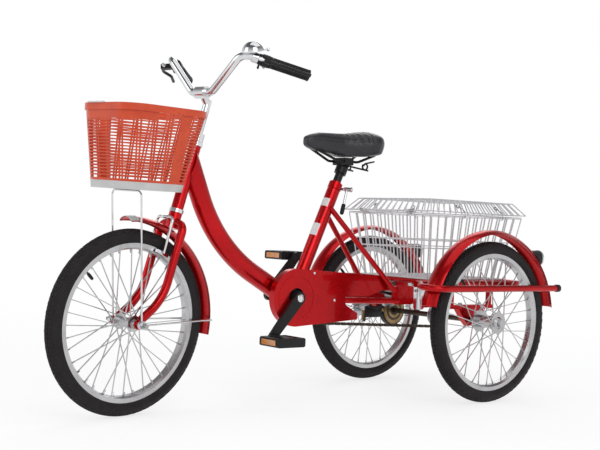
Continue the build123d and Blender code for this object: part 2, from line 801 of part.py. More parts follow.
def make_chain_case():
    """Chain guard: an outer plate around the cranks that steps inward to its rear arm, with a rim."""
    cx, cz = bracket_x, bracket_height
    top = [(cx, cz + case_radius), case_knee, case_rear]
    arm = polygon(*top, (case_rear[0], case_rear_foot), (case_knee[0], case_arm_foot), (cx, case_arm_foot))
    lobe = Pos(cx, cz) * Circle(case_radius) + polygon(
        (cx, cz + case_radius), (case_step, case_arm_foot), (case_step, case_notch), case_tail,
        (case_tail[0], case_tail_foot), (cx, cz - case_radius))
    ahead = Pos(case_step + cx, cz) * Rectangle(2 * cx, 2 * cx)
    behind = Pos(case_step - cx, cz) * Rectangle(2 * cx, 2 * cx)
    outer = lobe + (arm & ahead) - Pos(cx, cz) * Circle(crank_boss_radius + case_hole_gap)
    case = side_plate(outer, case_outer_y - case_wall, case_outer_y)
    case += side_plate(arm & behind, case_arm_y - case_wall, case_arm_y)
    step = Pos(case_step + case_wall / 2, cz) * Rectangle(case_wall, cx)
    case += side_plate(arm & step, case_arm_y - case_wall, case_outer_y)
    rim = Pos(cx, cz) * (Circle(case_radius) - Circle(case_radius - case_wall))
    rim -= Pos(0, cz) * Rectangle(2 * cx, cx)
    edge = polygon(*top, *((x, z - case_wall) for x, z in reversed(top)))
    case += side_plate(rim, case_inner_y, case_outer_y) + side_plate(edge & ahead, case_inner_y, case_outer_y)
    case += side_plate(edge & behind, case_inner_y, case_arm_y)
    ring = Pos(cx, cz) * (Circle(case_ring_radius) - Circle(case_ring_radius - 2 * case_wall))
    return case + side_plate(ring, case_outer_y - case_wall, case_outer_y + case_wall / 2)


def chain_path():
    """Closed line through the chain's pins, counted from the chainring's top towards the rear."""
    front, rear = pitch_radius(chainring_teeth), pitch_radius(sprocket_teeth)
    outline = belt_face(front, rear).face().outer_wire()
    return Plane(origin=(0, chain_line, 0), x_dir=(1, 0, 0), z_dir=(0, -1, 0)) * outline


def make_chain():
    """Closed loop of inner links around the chainring and the sprocket, with every second link's plates
    standing out around it."""
    front, rear = pitch_radius(chainring_teeth), pitch_radius(sprocket_teeth)
    half, middle = chain_plate_height / 2, chain_inner_width / 2
    face = belt_face(front + half - chain_waist, rear + half - chain_waist) - belt_face(
        front - half + chain_waist, rear - half + chain_waist)
    loop = side_plate(face, chain_line - middle, chain_line + middle)
    path = chain_path()
    count = 2 * round(path.length / chain_pitch / 2)
    links = []
    for index in range(0, count, 2):
        start, end = path @ (index / count), path @ ((index + 1) / count)
        plane = Plane(origin=(start + end) / 2, x_dir=end - start, z_dir=(0, 1, 0))
        length = (end - start).length + chain_link_overlap
        links.append(plane * Box(length, chain_plate_height, chain_width))
    return loop.fuse(*links)


def toothed_disc(teeth, bore):
    """Sprocket blank whose edge stands just under the chain, about the Y axis."""
    outer = pitch_radius(teeth) - chain_plate_height / 2 - moving_gap
    return side_plate(Circle(outer) - Circle(bore), chain_line - tooth_thickness / 2,
                      chain_line + tooth_thickness / 2)


def make_sprocket():
    """Sprocket on the rear axle."""
    boss = cross_bar(0, 0, rear_axle_radius + 10, chain_line - 10, chain_line + 10)
    bore = cross_bar(0, 0, rear_axle_radius + running_gap, chain_line - 30, chain_line + 30)
    return Pos(0, 0, wheel_radius) * (toothed_disc(sprocket_teeth, rear_axle_radius) + boss - bore)


def make_crankset():
    """Spindle, chainring, two cranks and the pedals' spindles."""
    outer_y = crank_inner_y + crank_thickness
    end_x, end_z = crank_at_rest
    spindle = cross_bar(0, 0, spindle_radius, -outer_y, outer_y)
    boss = cross_bar(0, 0, crank_boss_radius, chain_line - tooth_thickness, crank_inner_y + 1)
    arm = make_hull(Circle(crank_boss_radius - 2).edges() + (Pos(end_x, end_z) * Circle(crank_end_radius)).edges())
    spindle_end = outer_y + pedal_stand_off + pedal_width
    left = side_plate(arm, crank_inner_y, outer_y)
    left += cross_bar(end_x, end_z, pedal_spindle_radius, outer_y - 1, spindle_end)
    right = mirrored(left).rotate(Axis.Y, 180)
    ring = toothed_disc(chainring_teeth, spindle_radius - 1)
    return Pos(bracket_x, 0, bracket_height) * (spindle + boss + left + right + ring)


def make_pedal(side):
    """Block pedal around its spindle; side is 1 on the left and -1 on the right."""
    end_x, end_z = crank_at_rest
    x, z = bracket_x + side * end_x, bracket_height + side * end_z
    low = crank_inner_y + crank_thickness + pedal_stand_off
    body = Pos(x, low + pedal_width / 2, z) * Box(pedal_length, pedal_width, pedal_height)
    body = fillet(body.edges().filter_by(Axis.Y), 6)
    bore = cross_bar(x, z, pedal_spindle_radius + running_gap, low - 10, low + pedal_width + 10)
    offset = (pedal_length - pedal_window) / 4 + pedal_barrel / 2
    windows = [Pos(x + ahead * offset, low + pedal_width / 2 + along * pedal_window_pitch, z) * Box(
        pedal_window, pedal_window, 2 * pedal_height) for ahead in (1, -1) for along in (-1, 0, 1)]
    pedal = (body - bore).cut(*windows)
    return pedal if side > 0 else mirrored(pedal)


def make_rear_axle():
    """Rear axle through both wheels, with an end nut outside each hub."""
    reach = track / 2 + rear_hub_width / 2 + seat_gap
    end = reach + axle_nut_thickness
    axle = cross_bar(0, wheel_radius, rear_axle_radius, -end, end)
    plane = Plane(origin=(0, reach, wheel_radius), x_dir=(1, 0, 0), z_dir=(0, 1, 0))
    nut = extrude(plane * RegularPolygon(rear_axle_radius + 5, 6), axle_nut_thickness)
    return axle + nut + mirrored(nut)


def make_brake_drum():
    """Drum of the rear band brake."""
    drum = cross_bar(0, wheel_radius, brake_drum_radius, brake_drum_y - brake_drum_width / 2,
                     brake_drum_y + brake_drum_width / 2)
    return drum - cross_bar(0, wheel_radius, rear_axle_radius + running_gap, brake_drum_y - 30, brake_drum_y + 30)


def make_band_brake():
    """Brake band around the drum, hung by a strap from the hanger plate beside it."""
    inner = brake_drum_radius + moving_gap
    outer = inner + brake_band_thickness
    face = Circle(outer) - Circle(inner) - Pos(outer, 0) * Rectangle(2 * outer, 12)
    band = Pos(0, 0, wheel_radius) * side_plate(face, brake_drum_y - 8, brake_drum_y + 8)
    plate_edge = -carrier_half_width + hanger_plate_width / 2 + seat_gap
    strap = Pos(-12, (plate_edge + brake_drum_y + 8) / 2, wheel_radius + outer - 3) * Box(
        24, brake_drum_y + 8 - plate_edge, 6)
    keep_off = cross_bar(0, wheel_radius, inner, brake_drum_y - 60, brake_drum_y + 60)
    return band + strap - keep_off


# Rear mudguards and lamps

def make_rear_mudguard():
    """Left rear mudguard."""
    return Pos(0, track / 2, wheel_radius) * mudguard(rear_mudguard_radius, rear_mudguard_width,
                                                      rear_mudguard_angles)


def make_lamp_housings():
    """Lamp housings, wedge-shaped where they seat on the mudguards."""
    body = rod((-rear_mudguard_radius * 0.6, lamp_y, lamp_height), (-lamp_rear, lamp_y, lamp_height), lamp_radius)
    wheel_arch = cross_bar(0, wheel_radius, rear_mudguard_radius + seat_gap, 0, 2 * lamp_y)
    return pair(body - wheel_arch)


def make_lamp_lenses():
    """Domed lenses on the lamp housings."""
    plane = Plane(origin=(-lamp_rear - running_gap, lamp_y, lamp_height), z_dir=(-1, 0, 0))
    return pair(plane * dome(lamp_radius - 2, lens_depth))


# Saddle

def make_seat_post():
    """Seat post, from inside the seat tube up to the saddle's clamp."""
    top = seat_tube_length + seat_lug_length
    reach = (seat_post_height - bracket_height) / sin(radians(seat_tube_angle))
    return rod(seat_point(top - seat_post_insertion), seat_point(reach), seat_post_radius)


def make_seat_clamp():
    """Quick-release collar around the seat tube's lug."""
    low = seat_tube_length + 5
    high = seat_tube_length + seat_lug_length - 3
    collar = rod(seat_point(low), seat_point(high), seat_lug_radius + 4)
    ear = seat_point((low + high) / 2)
    pin = cross_bar(ear.X - 24, ear.Z - 8, 5, -16, 16)
    lever = bent_tube([(ear.X - 24, 10, ear.Z - 8), (ear.X - 26, 26, ear.Z - 10),
                       (ear.X - 8, 30, ear.Z - 72)], 4, 8)
    return collar + pin + lever - rod(seat_point(low - 5), seat_point(high + 5), seat_lug_radius + running_gap)


def saddle_floor(x):
    """Height of the saddle's underside, which rises towards its nose."""
    return saddle_under + saddle_nose_rise * (x - saddle_rear) / (saddle_front - saddle_rear)


def make_saddle_frame():
    """Two saddle rails and the clamp that holds them to the seat post."""
    reach = (seat_post_height - bracket_height) / sin(radians(seat_tube_angle))
    top = seat_point(reach)
    y = rail_spread
    front, rear = saddle_front - 30, saddle_rear + 30
    rail = bent_tube([(front, y * 0.4, saddle_floor(front)), (top.X + 40, y, top.Z + 12),
                      (top.X - 40, y, top.Z + 12), (rear, 2 * y, saddle_floor(rear))], rail_radius, 25)
    below = polygon((saddle_rear, bracket_height), (saddle_front, bracket_height),
                    (saddle_front, saddle_floor(saddle_front) - seat_gap),
                    (saddle_rear, saddle_floor(saddle_rear) - seat_gap))
    rail = rail & side_plate(below, -saddle_half_width, saddle_half_width)
    clamp = Pos(top.X, 0, top.Z + 12) * Box(34, 2 * y + 14, 22)
    socket = rod(seat_point(reach - 28), seat_point(reach + 16), seat_post_radius + 6)
    bore = rod(seat_point(reach - 60), seat_point(reach + running_gap), seat_post_radius + running_gap)
    return rail + mirrored(rail) + clamp + socket - bore


def make_saddle():
    """Padded saddle with a wide rear and a narrow nose."""
    nose, tail = saddle_front, saddle_rear
    wide_x = tail + 52
    waist_x = tail + 150
    half_nose = saddle_nose_half_width - 2
    half_waist = saddle_nose_half_width + 22
    plan = make_face([
        ThreePointArc((nose - 18, -half_nose), (nose, 0), (nose - 18, half_nose)),
        Line((nose - 18, half_nose), (waist_x, half_waist)),
        Line((waist_x, half_waist), (wide_x, saddle_half_width)),
        ThreePointArc((wide_x, saddle_half_width), (tail, 0), (wide_x, -saddle_half_width)),
        Line((wide_x, -saddle_half_width), (waist_x, -half_waist)),
        Line((waist_x, -half_waist), (nose - 18, -half_nose))])
    block = extrude(Pos(0, 0, saddle_under - 1) * plan, saddle_top - saddle_under + 1)
    profile = make_face([
        Line((tail - 10, saddle_floor(tail - 10)), (nose + 10, saddle_floor(nose + 10))),
        Line((nose + 10, saddle_floor(nose + 10)), (nose + 10, saddle_dip - 14)),
        ThreePointArc((nose + 10, saddle_dip - 14), (tail + 160, saddle_dip), (tail - 10, saddle_top)),
        Line((tail - 10, saddle_top), (tail - 10, saddle_floor(tail - 10)))])
    return block & side_plate(profile, -2 * saddle_half_width, 2 * saddle_half_width)


# Rear basket and lid

def panel_plane(corners):
    """Plane of a flat panel between four corners, with its origin at the first."""
    a, b, _, d = (Vector(*corner) for corner in corners)
    return Plane(origin=a, x_dir=b - a, z_dir=(b - a).cross(d - a))


def panel(corners, thickness):
    """Flat panel without openings."""
    plane = panel_plane(corners)
    local = [plane.to_local_coords(Vector(*corner)) for corner in corners]
    return extrude(plane * polygon(*((point.X, point.Y) for point in local)), thickness / 2, both=True)


def lattice(corners, columns, rows):
    """Flat wire panel between four corners; rows lists the shares of the height at its cross wires."""
    a, b, c, d = (Vector(*corner) for corner in corners)
    plane = panel_plane(corners)
    half = basket_wire / 2

    def flat(across, up):
        low = a + (b - a) * across
        high = d + (c - d) * across
        point = plane.to_local_coords(low + (high - low) * up)
        return point.X, point.Y

    levels = [0, *rows, 1]
    gap_u, gap_v = half / (b - a).length, half / (d - a).length
    holes = []
    for column in range(columns):
        left, right = column / columns + gap_u, (column + 1) / columns - gap_u
        for low, high in zip(levels, levels[1:]):
            bottom, top = low + gap_v, high - gap_v
            holes.append(Polyline(flat(left, bottom), flat(right, bottom), flat(right, top), flat(left, top),
                                  close=True))
    outer = Polyline(flat(0, 0), flat(1, 0), flat(1, 1), flat(0, 1), close=True)
    face = Face(Wire(outer.edges()), [Wire(hole.edges()) for hole in holes])
    return extrude(plane * face, half, both=True)


def wire_box(low, high, pitch, rows):
    """Lattice walls between two rectangles: the front and rear ones whole, the side ones between them."""
    outlines = [(low[index], low[(index + 1) % 4], high[(index + 1) % 4], high[index]) for index in range(4)]
    walls = [lattice(outline, round((Vector(*outline[1]) - Vector(*outline[0])).length / pitch), rows)
             for outline in outlines]
    right, front, left, rear = walls
    keep_off = [panel(outlines[index], basket_wire + 2 * seat_gap) for index in (1, 3)]
    return front, rear, left.cut(*keep_off), right.cut(*keep_off)


def rectangle_corners(front, rear, half_width, height):
    """Corners of a level rectangle."""
    return [(rear, -half_width, height), (front, -half_width, height),
            (front, half_width, height), (rear, half_width, height)]


def make_rear_basket():
    """Wire basket on the carrier frame, wider at its rim, with two hinge loops for its lid."""
    floor_height = carrier_height + carrier_tube_radius + seat_gap + basket_wire / 2
    low = rectangle_corners(rear_floor_front, rear_floor_rear, rear_floor_half_width, floor_height)
    high = rectangle_corners(rear_rim_front, rear_rim_rear, rear_rim_half_width, rear_rim_height)
    inset = basket_wire / 2 + 2 * seat_gap
    inside = rectangle_corners(rear_floor_front - inset, rear_floor_rear + inset, rear_floor_half_width - inset,
                               floor_height)
    columns = round((rear_floor_front - rear_floor_rear) / rear_wire_pitch)
    floor = lattice(inside, columns, rear_floor_wires)
    front, *others = wire_box(low, high, rear_wire_pitch, rear_basket_belt)
    loop = make_hull((Pos(lid_front, lid_height) * Circle(hinge_loop_radius)).edges()
                     + (Pos(rear_rim_front, rear_rim_height) * Circle(basket_wire)).edges())
    loop -= Pos(lid_front, lid_height) * Circle(hinge_rod_radius + running_gap)
    loop = side_plate(loop, hinge_y - hinge_loop_width / 2, hinge_y + hinge_loop_width / 2)
    front = front.fuse(loop, mirrored(loop))
    return Compound([solid for wall in (floor, front, *others) for solid in wall.solids()])


def make_basket_lid():
    """Hipped wire lid over the rear basket, with a hinge rod along its front edge."""
    low = rectangle_corners(lid_front, lid_rear, lid_half_width, lid_height)
    high = rectangle_corners(lid_front - lid_inset, lid_rear + lid_inset, lid_half_width - lid_inset, lid_top)
    top = lattice(high, round((lid_front - lid_rear - 2 * lid_inset) / rear_wire_pitch), lid_wires)
    keep_off = panel(high, basket_wire + 2 * seat_gap)
    front, *others = wire_box(low, high, rear_wire_pitch, ())
    rod_end = lid_half_width - basket_wire / 2 - 2 * seat_gap - running_gap
    front += cross_bar(lid_front, lid_height, hinge_rod_radius, -rod_end, rod_end)
    return Compound([top, *(solid for wall in (front, *others) for solid in (wall - keep_off).solids())])


def make_headset_cups():
    """Headset's lower and upper cups on the head tube."""
    cups = []
    for low, high in ((head_tube_foot - headset_height, head_tube_foot - running_gap),
                      (head_tube_top + running_gap, head_tube_top + headset_height)):
        bore = rod(on_head_axis(low - 5), on_head_axis(high + 5), steerer_radius + running_gap)
        cups.append(rod(on_head_axis(low), on_head_axis(high), headset_radius) - bore)
    return Compound([solid for cup in cups for solid in cup.solids()])


front_axle_place = Pos(wheelbase, 0, wheel_radius)
left_wheel_place = Pos(0, track / 2, wheel_radius)
right_wheel_place = Pos(0, -track / 2, wheel_radius)
front_wheel = make_wheel(front_hub_spacing, front_hub_flange_radius, front_hub_barrel, front_hub_width,
                         front_axle_radius)
rear_wheel = make_wheel(rear_hub_spacing, rear_hub_flange_radius, rear_hub_barrel, rear_hub_width,
                        rear_axle_radius)
tyre = make_tyre()
rear_mudguard = make_rear_mudguard()

# Pieces that turn with the fork, built straight ahead
steered = {
    "fork": make_fork(),
    "front_axle": make_front_axle(),
    "headset_locknut": make_locknut(),
    "stem": make_stem(),
    "handlebar": make_handlebar(),
    "grips": make_grips(),
    "brake_levers": make_brake_levers(),
    "bell": make_bell(),
    "front_basket": make_front_basket(),
    "basket_base": make_basket_base(),
    "basket_rods": make_basket_rods(),
    "front_mudguard": make_front_mudguard(),
    "mudguard_stay": make_mudguard_stay(),
    "front_brake": make_front_brake(),
    "front_wheel": front_axle_place * front_wheel,
    "front_tyre": front_axle_place * tyre,
}

# Pieces on the frame, the rear axle, the cranks and the lid's hinge
pieces = {
    "front_frame": make_front_frame(),
    "headset_cups": make_headset_cups(),
    "rear_stays": make_rear_stays(),
    "frame_latches": make_frame_latches(),
    "carrier_frame": make_carrier_frame(),
    "guard_bars": make_guard_bars(),
    "guard_end_caps": make_guard_end_caps(),
    "bearing_blocks": make_bearing_blocks(),
    "chain_case": make_chain_case(),
    "drive_chain": make_chain(),
    "rear_mudguard_left": rear_mudguard,
    "rear_mudguard_right": mirrored(rear_mudguard),
    "lamp_housings": make_lamp_housings(),
    "lamp_lenses": make_lamp_lenses(),
    "seat_post": make_seat_post(),
    "seat_clamp": make_seat_clamp(),
    "saddle_frame": make_saddle_frame(),
    "saddle": make_saddle(),
    "rear_basket": make_rear_basket(),
    "basket_lid": make_basket_lid(),
    "band_brake": make_band_brake(),
    "crankset": make_crankset(),
    "pedal_left": make_pedal(1),
    "pedal_right": make_pedal(-1),
    "rear_axle": make_rear_axle(),
    "sprocket": make_sprocket(),
    "brake_drum": make_brake_drum(),
    "rear_wheel_left": left_wheel_place * rear_wheel,
    "rear_tyre_left": left_wheel_place * tyre,
    "rear_wheel_right": right_wheel_place * rear_wheel,
    "rear_tyre_right": right_wheel_place * tyre,
}
for name, shape in steered.items():
    pieces[name] = shape.rotate(steering_axis, steering_at_rest)

boxes = [shape.bounding_box() for shape in pieces.values()]
middle_x = (min(box.min.X for box in boxes) + max(box.max.X for box in boxes)) / 2

os.makedirs("parts", exist_ok=True)
for name, shape in pieces.items():
    export_step(Pos(-middle_x, 0, 0) * shape, f"parts/{name}.step")
print(f"{len(pieces)} sub-parts, with the rear axle {middle_x:.3f} mm behind the origin")
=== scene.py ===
# %% [markdown]
# # An adult tricycle, dressed for a photograph
# The solid pieces are already there: frame, wheels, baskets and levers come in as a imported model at
# real size. This lesson gives each of them its finish, and adds what it leaves plain, such as the
# tread of the tyres, the padding of the saddle, the springs under it and the small bolts and caps.
# One lesson cell does one thing, and says why it is done that way before it does it.

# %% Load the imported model
import bpy
import json
import math
from mathutils import Matrix, Vector


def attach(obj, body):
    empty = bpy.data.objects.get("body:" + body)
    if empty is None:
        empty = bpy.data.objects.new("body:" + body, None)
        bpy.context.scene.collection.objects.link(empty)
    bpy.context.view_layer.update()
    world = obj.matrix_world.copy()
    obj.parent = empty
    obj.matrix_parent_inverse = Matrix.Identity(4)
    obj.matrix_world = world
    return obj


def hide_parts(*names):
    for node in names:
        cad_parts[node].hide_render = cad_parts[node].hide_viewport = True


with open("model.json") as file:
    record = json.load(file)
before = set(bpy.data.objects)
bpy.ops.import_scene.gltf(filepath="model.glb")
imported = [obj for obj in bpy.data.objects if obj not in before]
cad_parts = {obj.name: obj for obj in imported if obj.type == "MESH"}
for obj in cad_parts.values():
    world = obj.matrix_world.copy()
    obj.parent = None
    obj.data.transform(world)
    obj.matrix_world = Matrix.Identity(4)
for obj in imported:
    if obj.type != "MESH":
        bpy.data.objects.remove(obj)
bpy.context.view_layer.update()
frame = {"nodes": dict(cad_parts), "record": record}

# %% [markdown]
# ## Where things are
# The wheels' centres and axles and the steering axis are joints of the model, so they are read from it.
# The tricycle was drawn in millimetres from the rear axle, with the front wheel straight ahead. Small
# helpers turn such a place into a point of the frame, so that a measure can be read off the drawing.

# %% Places that the pieces are built on
MM = 0.001
SIDES = {"left": 1, "right": -1}
STEERING_AT_REST = math.radians(7.15)
WHEELBASE = 1121
WHEEL_RADIUS = 248
TRACK_HALF = 275
BRACKET = Vector((591, 0, 311.5))
SEAT_TUBE_FOOT = Vector((560, 0, 311.5))
SEAT_TUBE_WAY = Vector((-math.cos(math.radians(66)), 0, math.sin(math.radians(66))))


def joint_line(name):
    """A joint's point and its axis, at rest."""
    found = next(joint for joint in frame["record"]["behaviour"]["joints"] if joint["name"] == name)
    return Vector(found["pos_m"]), Vector(found["axis"]).normalized()


steering_point, steering_axis = joint_line("steering_turn")
front_hub, front_axle = joint_line("front_wheel_spin")
rear_hub = joint_line("driven_axle_spin")[0]


def point(x, y, z):
    """A place in millimetres, with X forward of the rear axle, as a point of the frame."""
    return Vector((x * MM + rear_hub.x, y * MM, z * MM))


def fork_point(x, y, z):
    """A place on the steered pieces, drawn straight ahead, turned with them to where it stands."""
    turn = Matrix.Rotation(STEERING_AT_REST, 4, steering_axis)
    return steering_point + turn @ (point(x, y, z) - steering_point)


def fork_way(x, y, z):
    """A direction on the steered pieces, drawn straight ahead."""
    return (Matrix.Rotation(STEERING_AT_REST, 3, steering_axis) @ Vector((x, y, z))).normalized()


print("front hub", front_hub, "rear hub", rear_hub)

# %% [markdown]
# ## Camera
# The view is the photograph's: from the front left, at the height of the wheels' tops, with a normal
# lens. The place and angles were found by matching three equal wheels on one floor.

# %% Camera at the photograph's angle
CAMERA_AT = (2585.79595, 2517.04471, 524.368778)
CAMERA_YAW = 0.681977073
CAMERA_PITCH = 0.000491608
CAMERA_ROLL = 0.0416443473
LENS = 65.47
SENSOR_WIDTH = 36

view = Vector((-math.sin(CAMERA_YAW) * math.cos(CAMERA_PITCH),
               -math.cos(CAMERA_YAW) * math.cos(CAMERA_PITCH), -math.sin(CAMERA_PITCH)))
level = view.cross(Vector((0, 0, 1))).normalized()
upright = level.cross(view)
right = math.cos(CAMERA_ROLL) * level + math.sin(CAMERA_ROLL) * upright
up = math.cos(CAMERA_ROLL) * upright - math.sin(CAMERA_ROLL) * level
bpy.ops.object.camera_add(location=point(*CAMERA_AT))
camera = bpy.context.object
camera.data.lens = LENS
camera.data.sensor_width = SENSOR_WIDTH
camera_turn = Matrix((right, up, -view)).transposed().to_4x4()
camera.matrix_world = Matrix.Translation(point(*CAMERA_AT)) @ camera_turn
bpy.context.scene.camera = camera
bpy.context.scene.view_settings.view_transform = "Standard"
print("camera looks along", view)

# %% [markdown]
# ## Helpers for modelling
# Every operator works on what is selected, so each step starts with nothing selected. A finished piece
# is left at the origin with its place in its mesh, as the model's own nodes are. All sizes that these
# helpers take are in millimetres.

# %% Helpers for modelling
def deselect():
    """Nothing selected, and object mode."""
    if bpy.context.object and bpy.context.object.mode != "OBJECT":
        bpy.ops.object.mode_set(mode="OBJECT")
    bpy.ops.object.select_all(action="DESELECT")


def pick(obj):
    """One object selected and active."""
    deselect()
    obj.select_set(True)
    bpy.context.view_layer.objects.active = obj
    return obj


def started(name):
    """The primitive that was just added, with its name, in edit mode with all of it selected."""
    obj = bpy.context.object
    obj.name = name
    bpy.ops.object.mode_set(mode="EDIT")
    bpy.ops.mesh.select_all(action="SELECT")
    return obj


def outward(obj):
    """Normals recalculated to point outwards, and object mode."""
    pick(obj)
    bpy.ops.object.mode_set(mode="EDIT")
    bpy.ops.mesh.select_all(action="SELECT")
    bpy.ops.mesh.normals_make_consistent(inside=False)
    bpy.ops.object.mode_set(mode="OBJECT")
    return obj


def inset_faces(obj, wanted, thickness, depth, each=True):
    """Insets the faces for which the test holds, and pushes them out, or in with a minus."""
    pick(obj)
    bpy.ops.object.mode_set(mode="EDIT")
    bpy.ops.mesh.select_mode(type="FACE")
    bpy.ops.mesh.select_all(action="DESELECT")
    bpy.ops.object.mode_set(mode="OBJECT")
    for face in obj.data.polygons:
        face.select = bool(wanted(face))
    bpy.ops.object.mode_set(mode="EDIT")
    bpy.ops.mesh.inset(thickness=thickness * MM, depth=depth * MM, use_individual=each)
    bpy.ops.object.mode_set(mode="OBJECT")
    return obj


def every_second(segments, low, high):
    """A test for every second face around a turned piece, between two heights."""
    def wanted(face):
        column = round(math.atan2(face.center.y, face.center.x) / (math.tau / segments) - 0.5)
        return low * MM < face.center.z < high * MM and column % 2 == 0 and abs(face.normal.z) < 0.3
    return wanted


def turned(name, radius, steps, segments=24):
    """A turned piece about Z: a disc that is extruded and resized, step by step (radius, rise)."""
    deselect()
    bpy.ops.mesh.primitive_circle_add(vertices=segments, radius=radius * MM, fill_type="NGON")
    obj = started(name)
    height = 0.0
    for new_radius, rise in steps:
        bpy.ops.mesh.extrude_region_move(TRANSFORM_OT_translate={"value": (0, 0, rise * MM)})
        height += rise * MM
        share = new_radius / radius
        bpy.ops.transform.resize(value=(share, share, 1), center_override=(0, 0, height))
        radius = new_radius
    return outward(obj)


def moved(obj, place):
    """The piece's mesh moved to a place of the frame."""
    obj.data.transform(Matrix.Translation(Vector(place)))
    return obj


def stand(obj, origin, axis, across=None):
    """Moves a piece drawn about Z onto a point, with Z along an axis, and leaves the place in its mesh."""
    z = Vector(axis).normalized()
    x = Vector(across) if across else z.orthogonal()
    x = (x - z * x.dot(z)).normalized()
    turn = Matrix((x, z.cross(x), z)).transposed().to_4x4()
    obj.data.transform(Matrix.Translation(Vector(origin)) @ turn)
    return obj


def joined(name, objects):
    """Several objects joined as one piece."""
    deselect()
    for obj in objects:
        obj.select_set(True)
    bpy.context.view_layer.objects.active = objects[0]
    if len(objects) > 1:
        bpy.ops.object.join()
    bpy.context.object.name = name
    return bpy.context.object


def smoothed(obj, angle=30):
    """Smooth shading, with the edges sharper than an angle kept hard."""
    pick(obj)
    bpy.ops.object.shade_smooth_by_angle(angle=math.radians(angle))
    return obj


def modified(obj, kind, **settings):
    """Adds one modifier and applies it."""
    pick(obj)
    modifier = obj.modifiers.new(kind.title(), kind)
    for key, value in settings.items():
        setattr(modifier, key, value)
    bpy.ops.object.modifier_apply(modifier=modifier.name)
    return obj


def dressed(obj, slot, body, coat=None, replaces=()):
    """Gives a piece its body and its slot's finish, or a coat of its own, and hides the nodes it replaces.
    """
    obj.data.materials.clear()
    obj.data.materials.append(coat or finishes[slot])
    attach(obj, body)
    if replaces:
        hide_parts(*replaces)
    return obj


print("helpers ready")

# %% [markdown]
# ## Placing shader nodes
# A material is a tree of nodes, and most of its code says the same three things: which node, what it is
# set to and what is linked into it. One helper says them in one line. An input that is another node's
# socket is linked, and anything else is set as its value.

# %% One shader node
def shaded(tree, kind, inputs=None, output=0, **settings):
    """A shader node with its settings and inputs, and the output that is wanted of it."""
    node = tree.nodes.new(f"ShaderNode{kind}")
    for key, value in settings.items():
        setattr(node, key, value)
    for key, value in (inputs or {}).items():
        if isinstance(value, bpy.types.NodeSocket):
            tree.links.new(value, node.inputs[key])
        else:
            node.inputs[key].default_value = value
    return node.outputs[output]


def mixed(tree, mask, low, high):
    """A colour between two others by a mask, where each is a tone or a node's colour."""
    tones = [tone if isinstance(tone, bpy.types.NodeSocket) else (*tone, 1) for tone in (low, high)]
    return shaded(tree, "Mix", {"Factor": mask, "A": tones[0], "B": tones[1]}, "Result", data_type="RGBA")


def ranged(tree, mask, low, high):
    """A number between two values."""
    return shaded(tree, "MapRange", {"Value": mask, "To Min": low, "To Max": high})


def above(tree, value, limit):
    """A mask of 1 where a value is past a limit."""
    return shaded(tree, "Math", {0: value, 1: limit}, operation="GREATER_THAN")


def from_axis(tree, foot, way):
    """The distance of the surface from a line: the way to it, crossed with the line, is as long."""
    place = shaded(tree, "TexCoord", output="Object")
    centred = shaded(tree, "Mapping", {"Vector": place, "Location": tuple(-value for value in foot)})
    crossed = shaded(tree, "VectorMath", {0: centred, 1: tuple(way)}, operation="CROSS_PRODUCT")
    return shaded(tree, "VectorMath", {0: crossed}, "Value", operation="LENGTH")


print("node helpers ready")

# %% [markdown]
# ## Shared effects
# Paint, plastic, rubber and leather differ in colour and gloss, but the same few effects run through all
# of them: a fine grain, a slow mottle, and dust that gathers where a surface looks up. Each effect is a
# node group, built once, and placed in each material with values of its own.

# %% Effect groups
def new_group(name, inputs, results):
    """An empty shader group with named sockets: its tree, what comes in and what goes out."""
    group = bpy.data.node_groups.new(name, "ShaderNodeTree")
    for label, default in inputs.items():
        socket = group.interface.new_socket(name=label, in_out="INPUT", socket_type="NodeSocketFloat")
        socket.default_value = default
    for label in results:
        group.interface.new_socket(name=label, in_out="OUTPUT", socket_type="NodeSocketFloat")
    source = group.nodes.new("NodeGroupInput")
    result = group.nodes.new("NodeGroupOutput")
    return group, source.outputs, result.inputs


def fine_grain_group():
    """Small even noise: its height for bump and the same noise as a mask."""
    group, given, result = new_group("fine_grain", {"Scale": 400.0, "Detail": 3.0}, ["Height", "Mask"])
    place = shaded(group, "TexCoord", output="Object")
    noise = shaded(group, "TexNoise", {"Vector": place, "Scale": given["Scale"], "Detail": given["Detail"]})
    mask = shaded(group, "MapRange", {"Value": noise, "From Min": 0.35, "From Max": 0.65})
    group.links.new(noise, result["Height"])
    group.links.new(mask, result["Mask"])
    return group


def soft_mottle_group():
    """Slow cloudy variation, with a little of a finer one laid over it."""
    group, given, result = new_group("soft_mottle", {"Scale": 12.0, "Fine": 0.3}, ["Mask"])
    place = shaded(group, "TexCoord", output="Object")
    slow = shaded(group, "TexNoise", {"Vector": place, "Scale": given["Scale"]})
    fast = shaded(group, "TexNoise", {"Vector": place, "Scale": 90.0, "Detail": 5.0})
    both = shaded(group, "Mix", {"Factor": given["Fine"], "A": slow, "B": fast}, "Result")
    mask = shaded(group, "MapRange", {"Value": both, "From Min": 0.3, "From Max": 0.7})
    group.links.new(mask, result["Mask"])
    return group


def settled_dust_group():
    """Dust on what looks up: the surface's own normal, broken up by noise."""
    group, given, result = new_group("settled_dust", {"Amount": 0.3}, ["Mask"])
    normal = shaded(group, "NewGeometry", output="Normal")
    upward = shaded(group, "SeparateXYZ", {"Vector": normal}, "Z")
    facing = shaded(group, "MapRange", {"Value": upward, "From Min": 0.2})
    place = shaded(group, "TexCoord", output="Object")
    noise = shaded(group, "TexNoise", {"Vector": place, "Scale": 60.0, "Detail": 6.0})
    patch = shaded(group, "Math", {0: facing, 1: noise}, operation="MULTIPLY")
    mask = shaded(group, "Math", {0: patch, 1: given["Amount"]}, operation="MULTIPLY")
    group.links.new(mask, result["Mask"])
    return group


effects = {"grain": fine_grain_group(), "mottle": soft_mottle_group(), "dust": settled_dust_group()}
print("effects", list(effects))

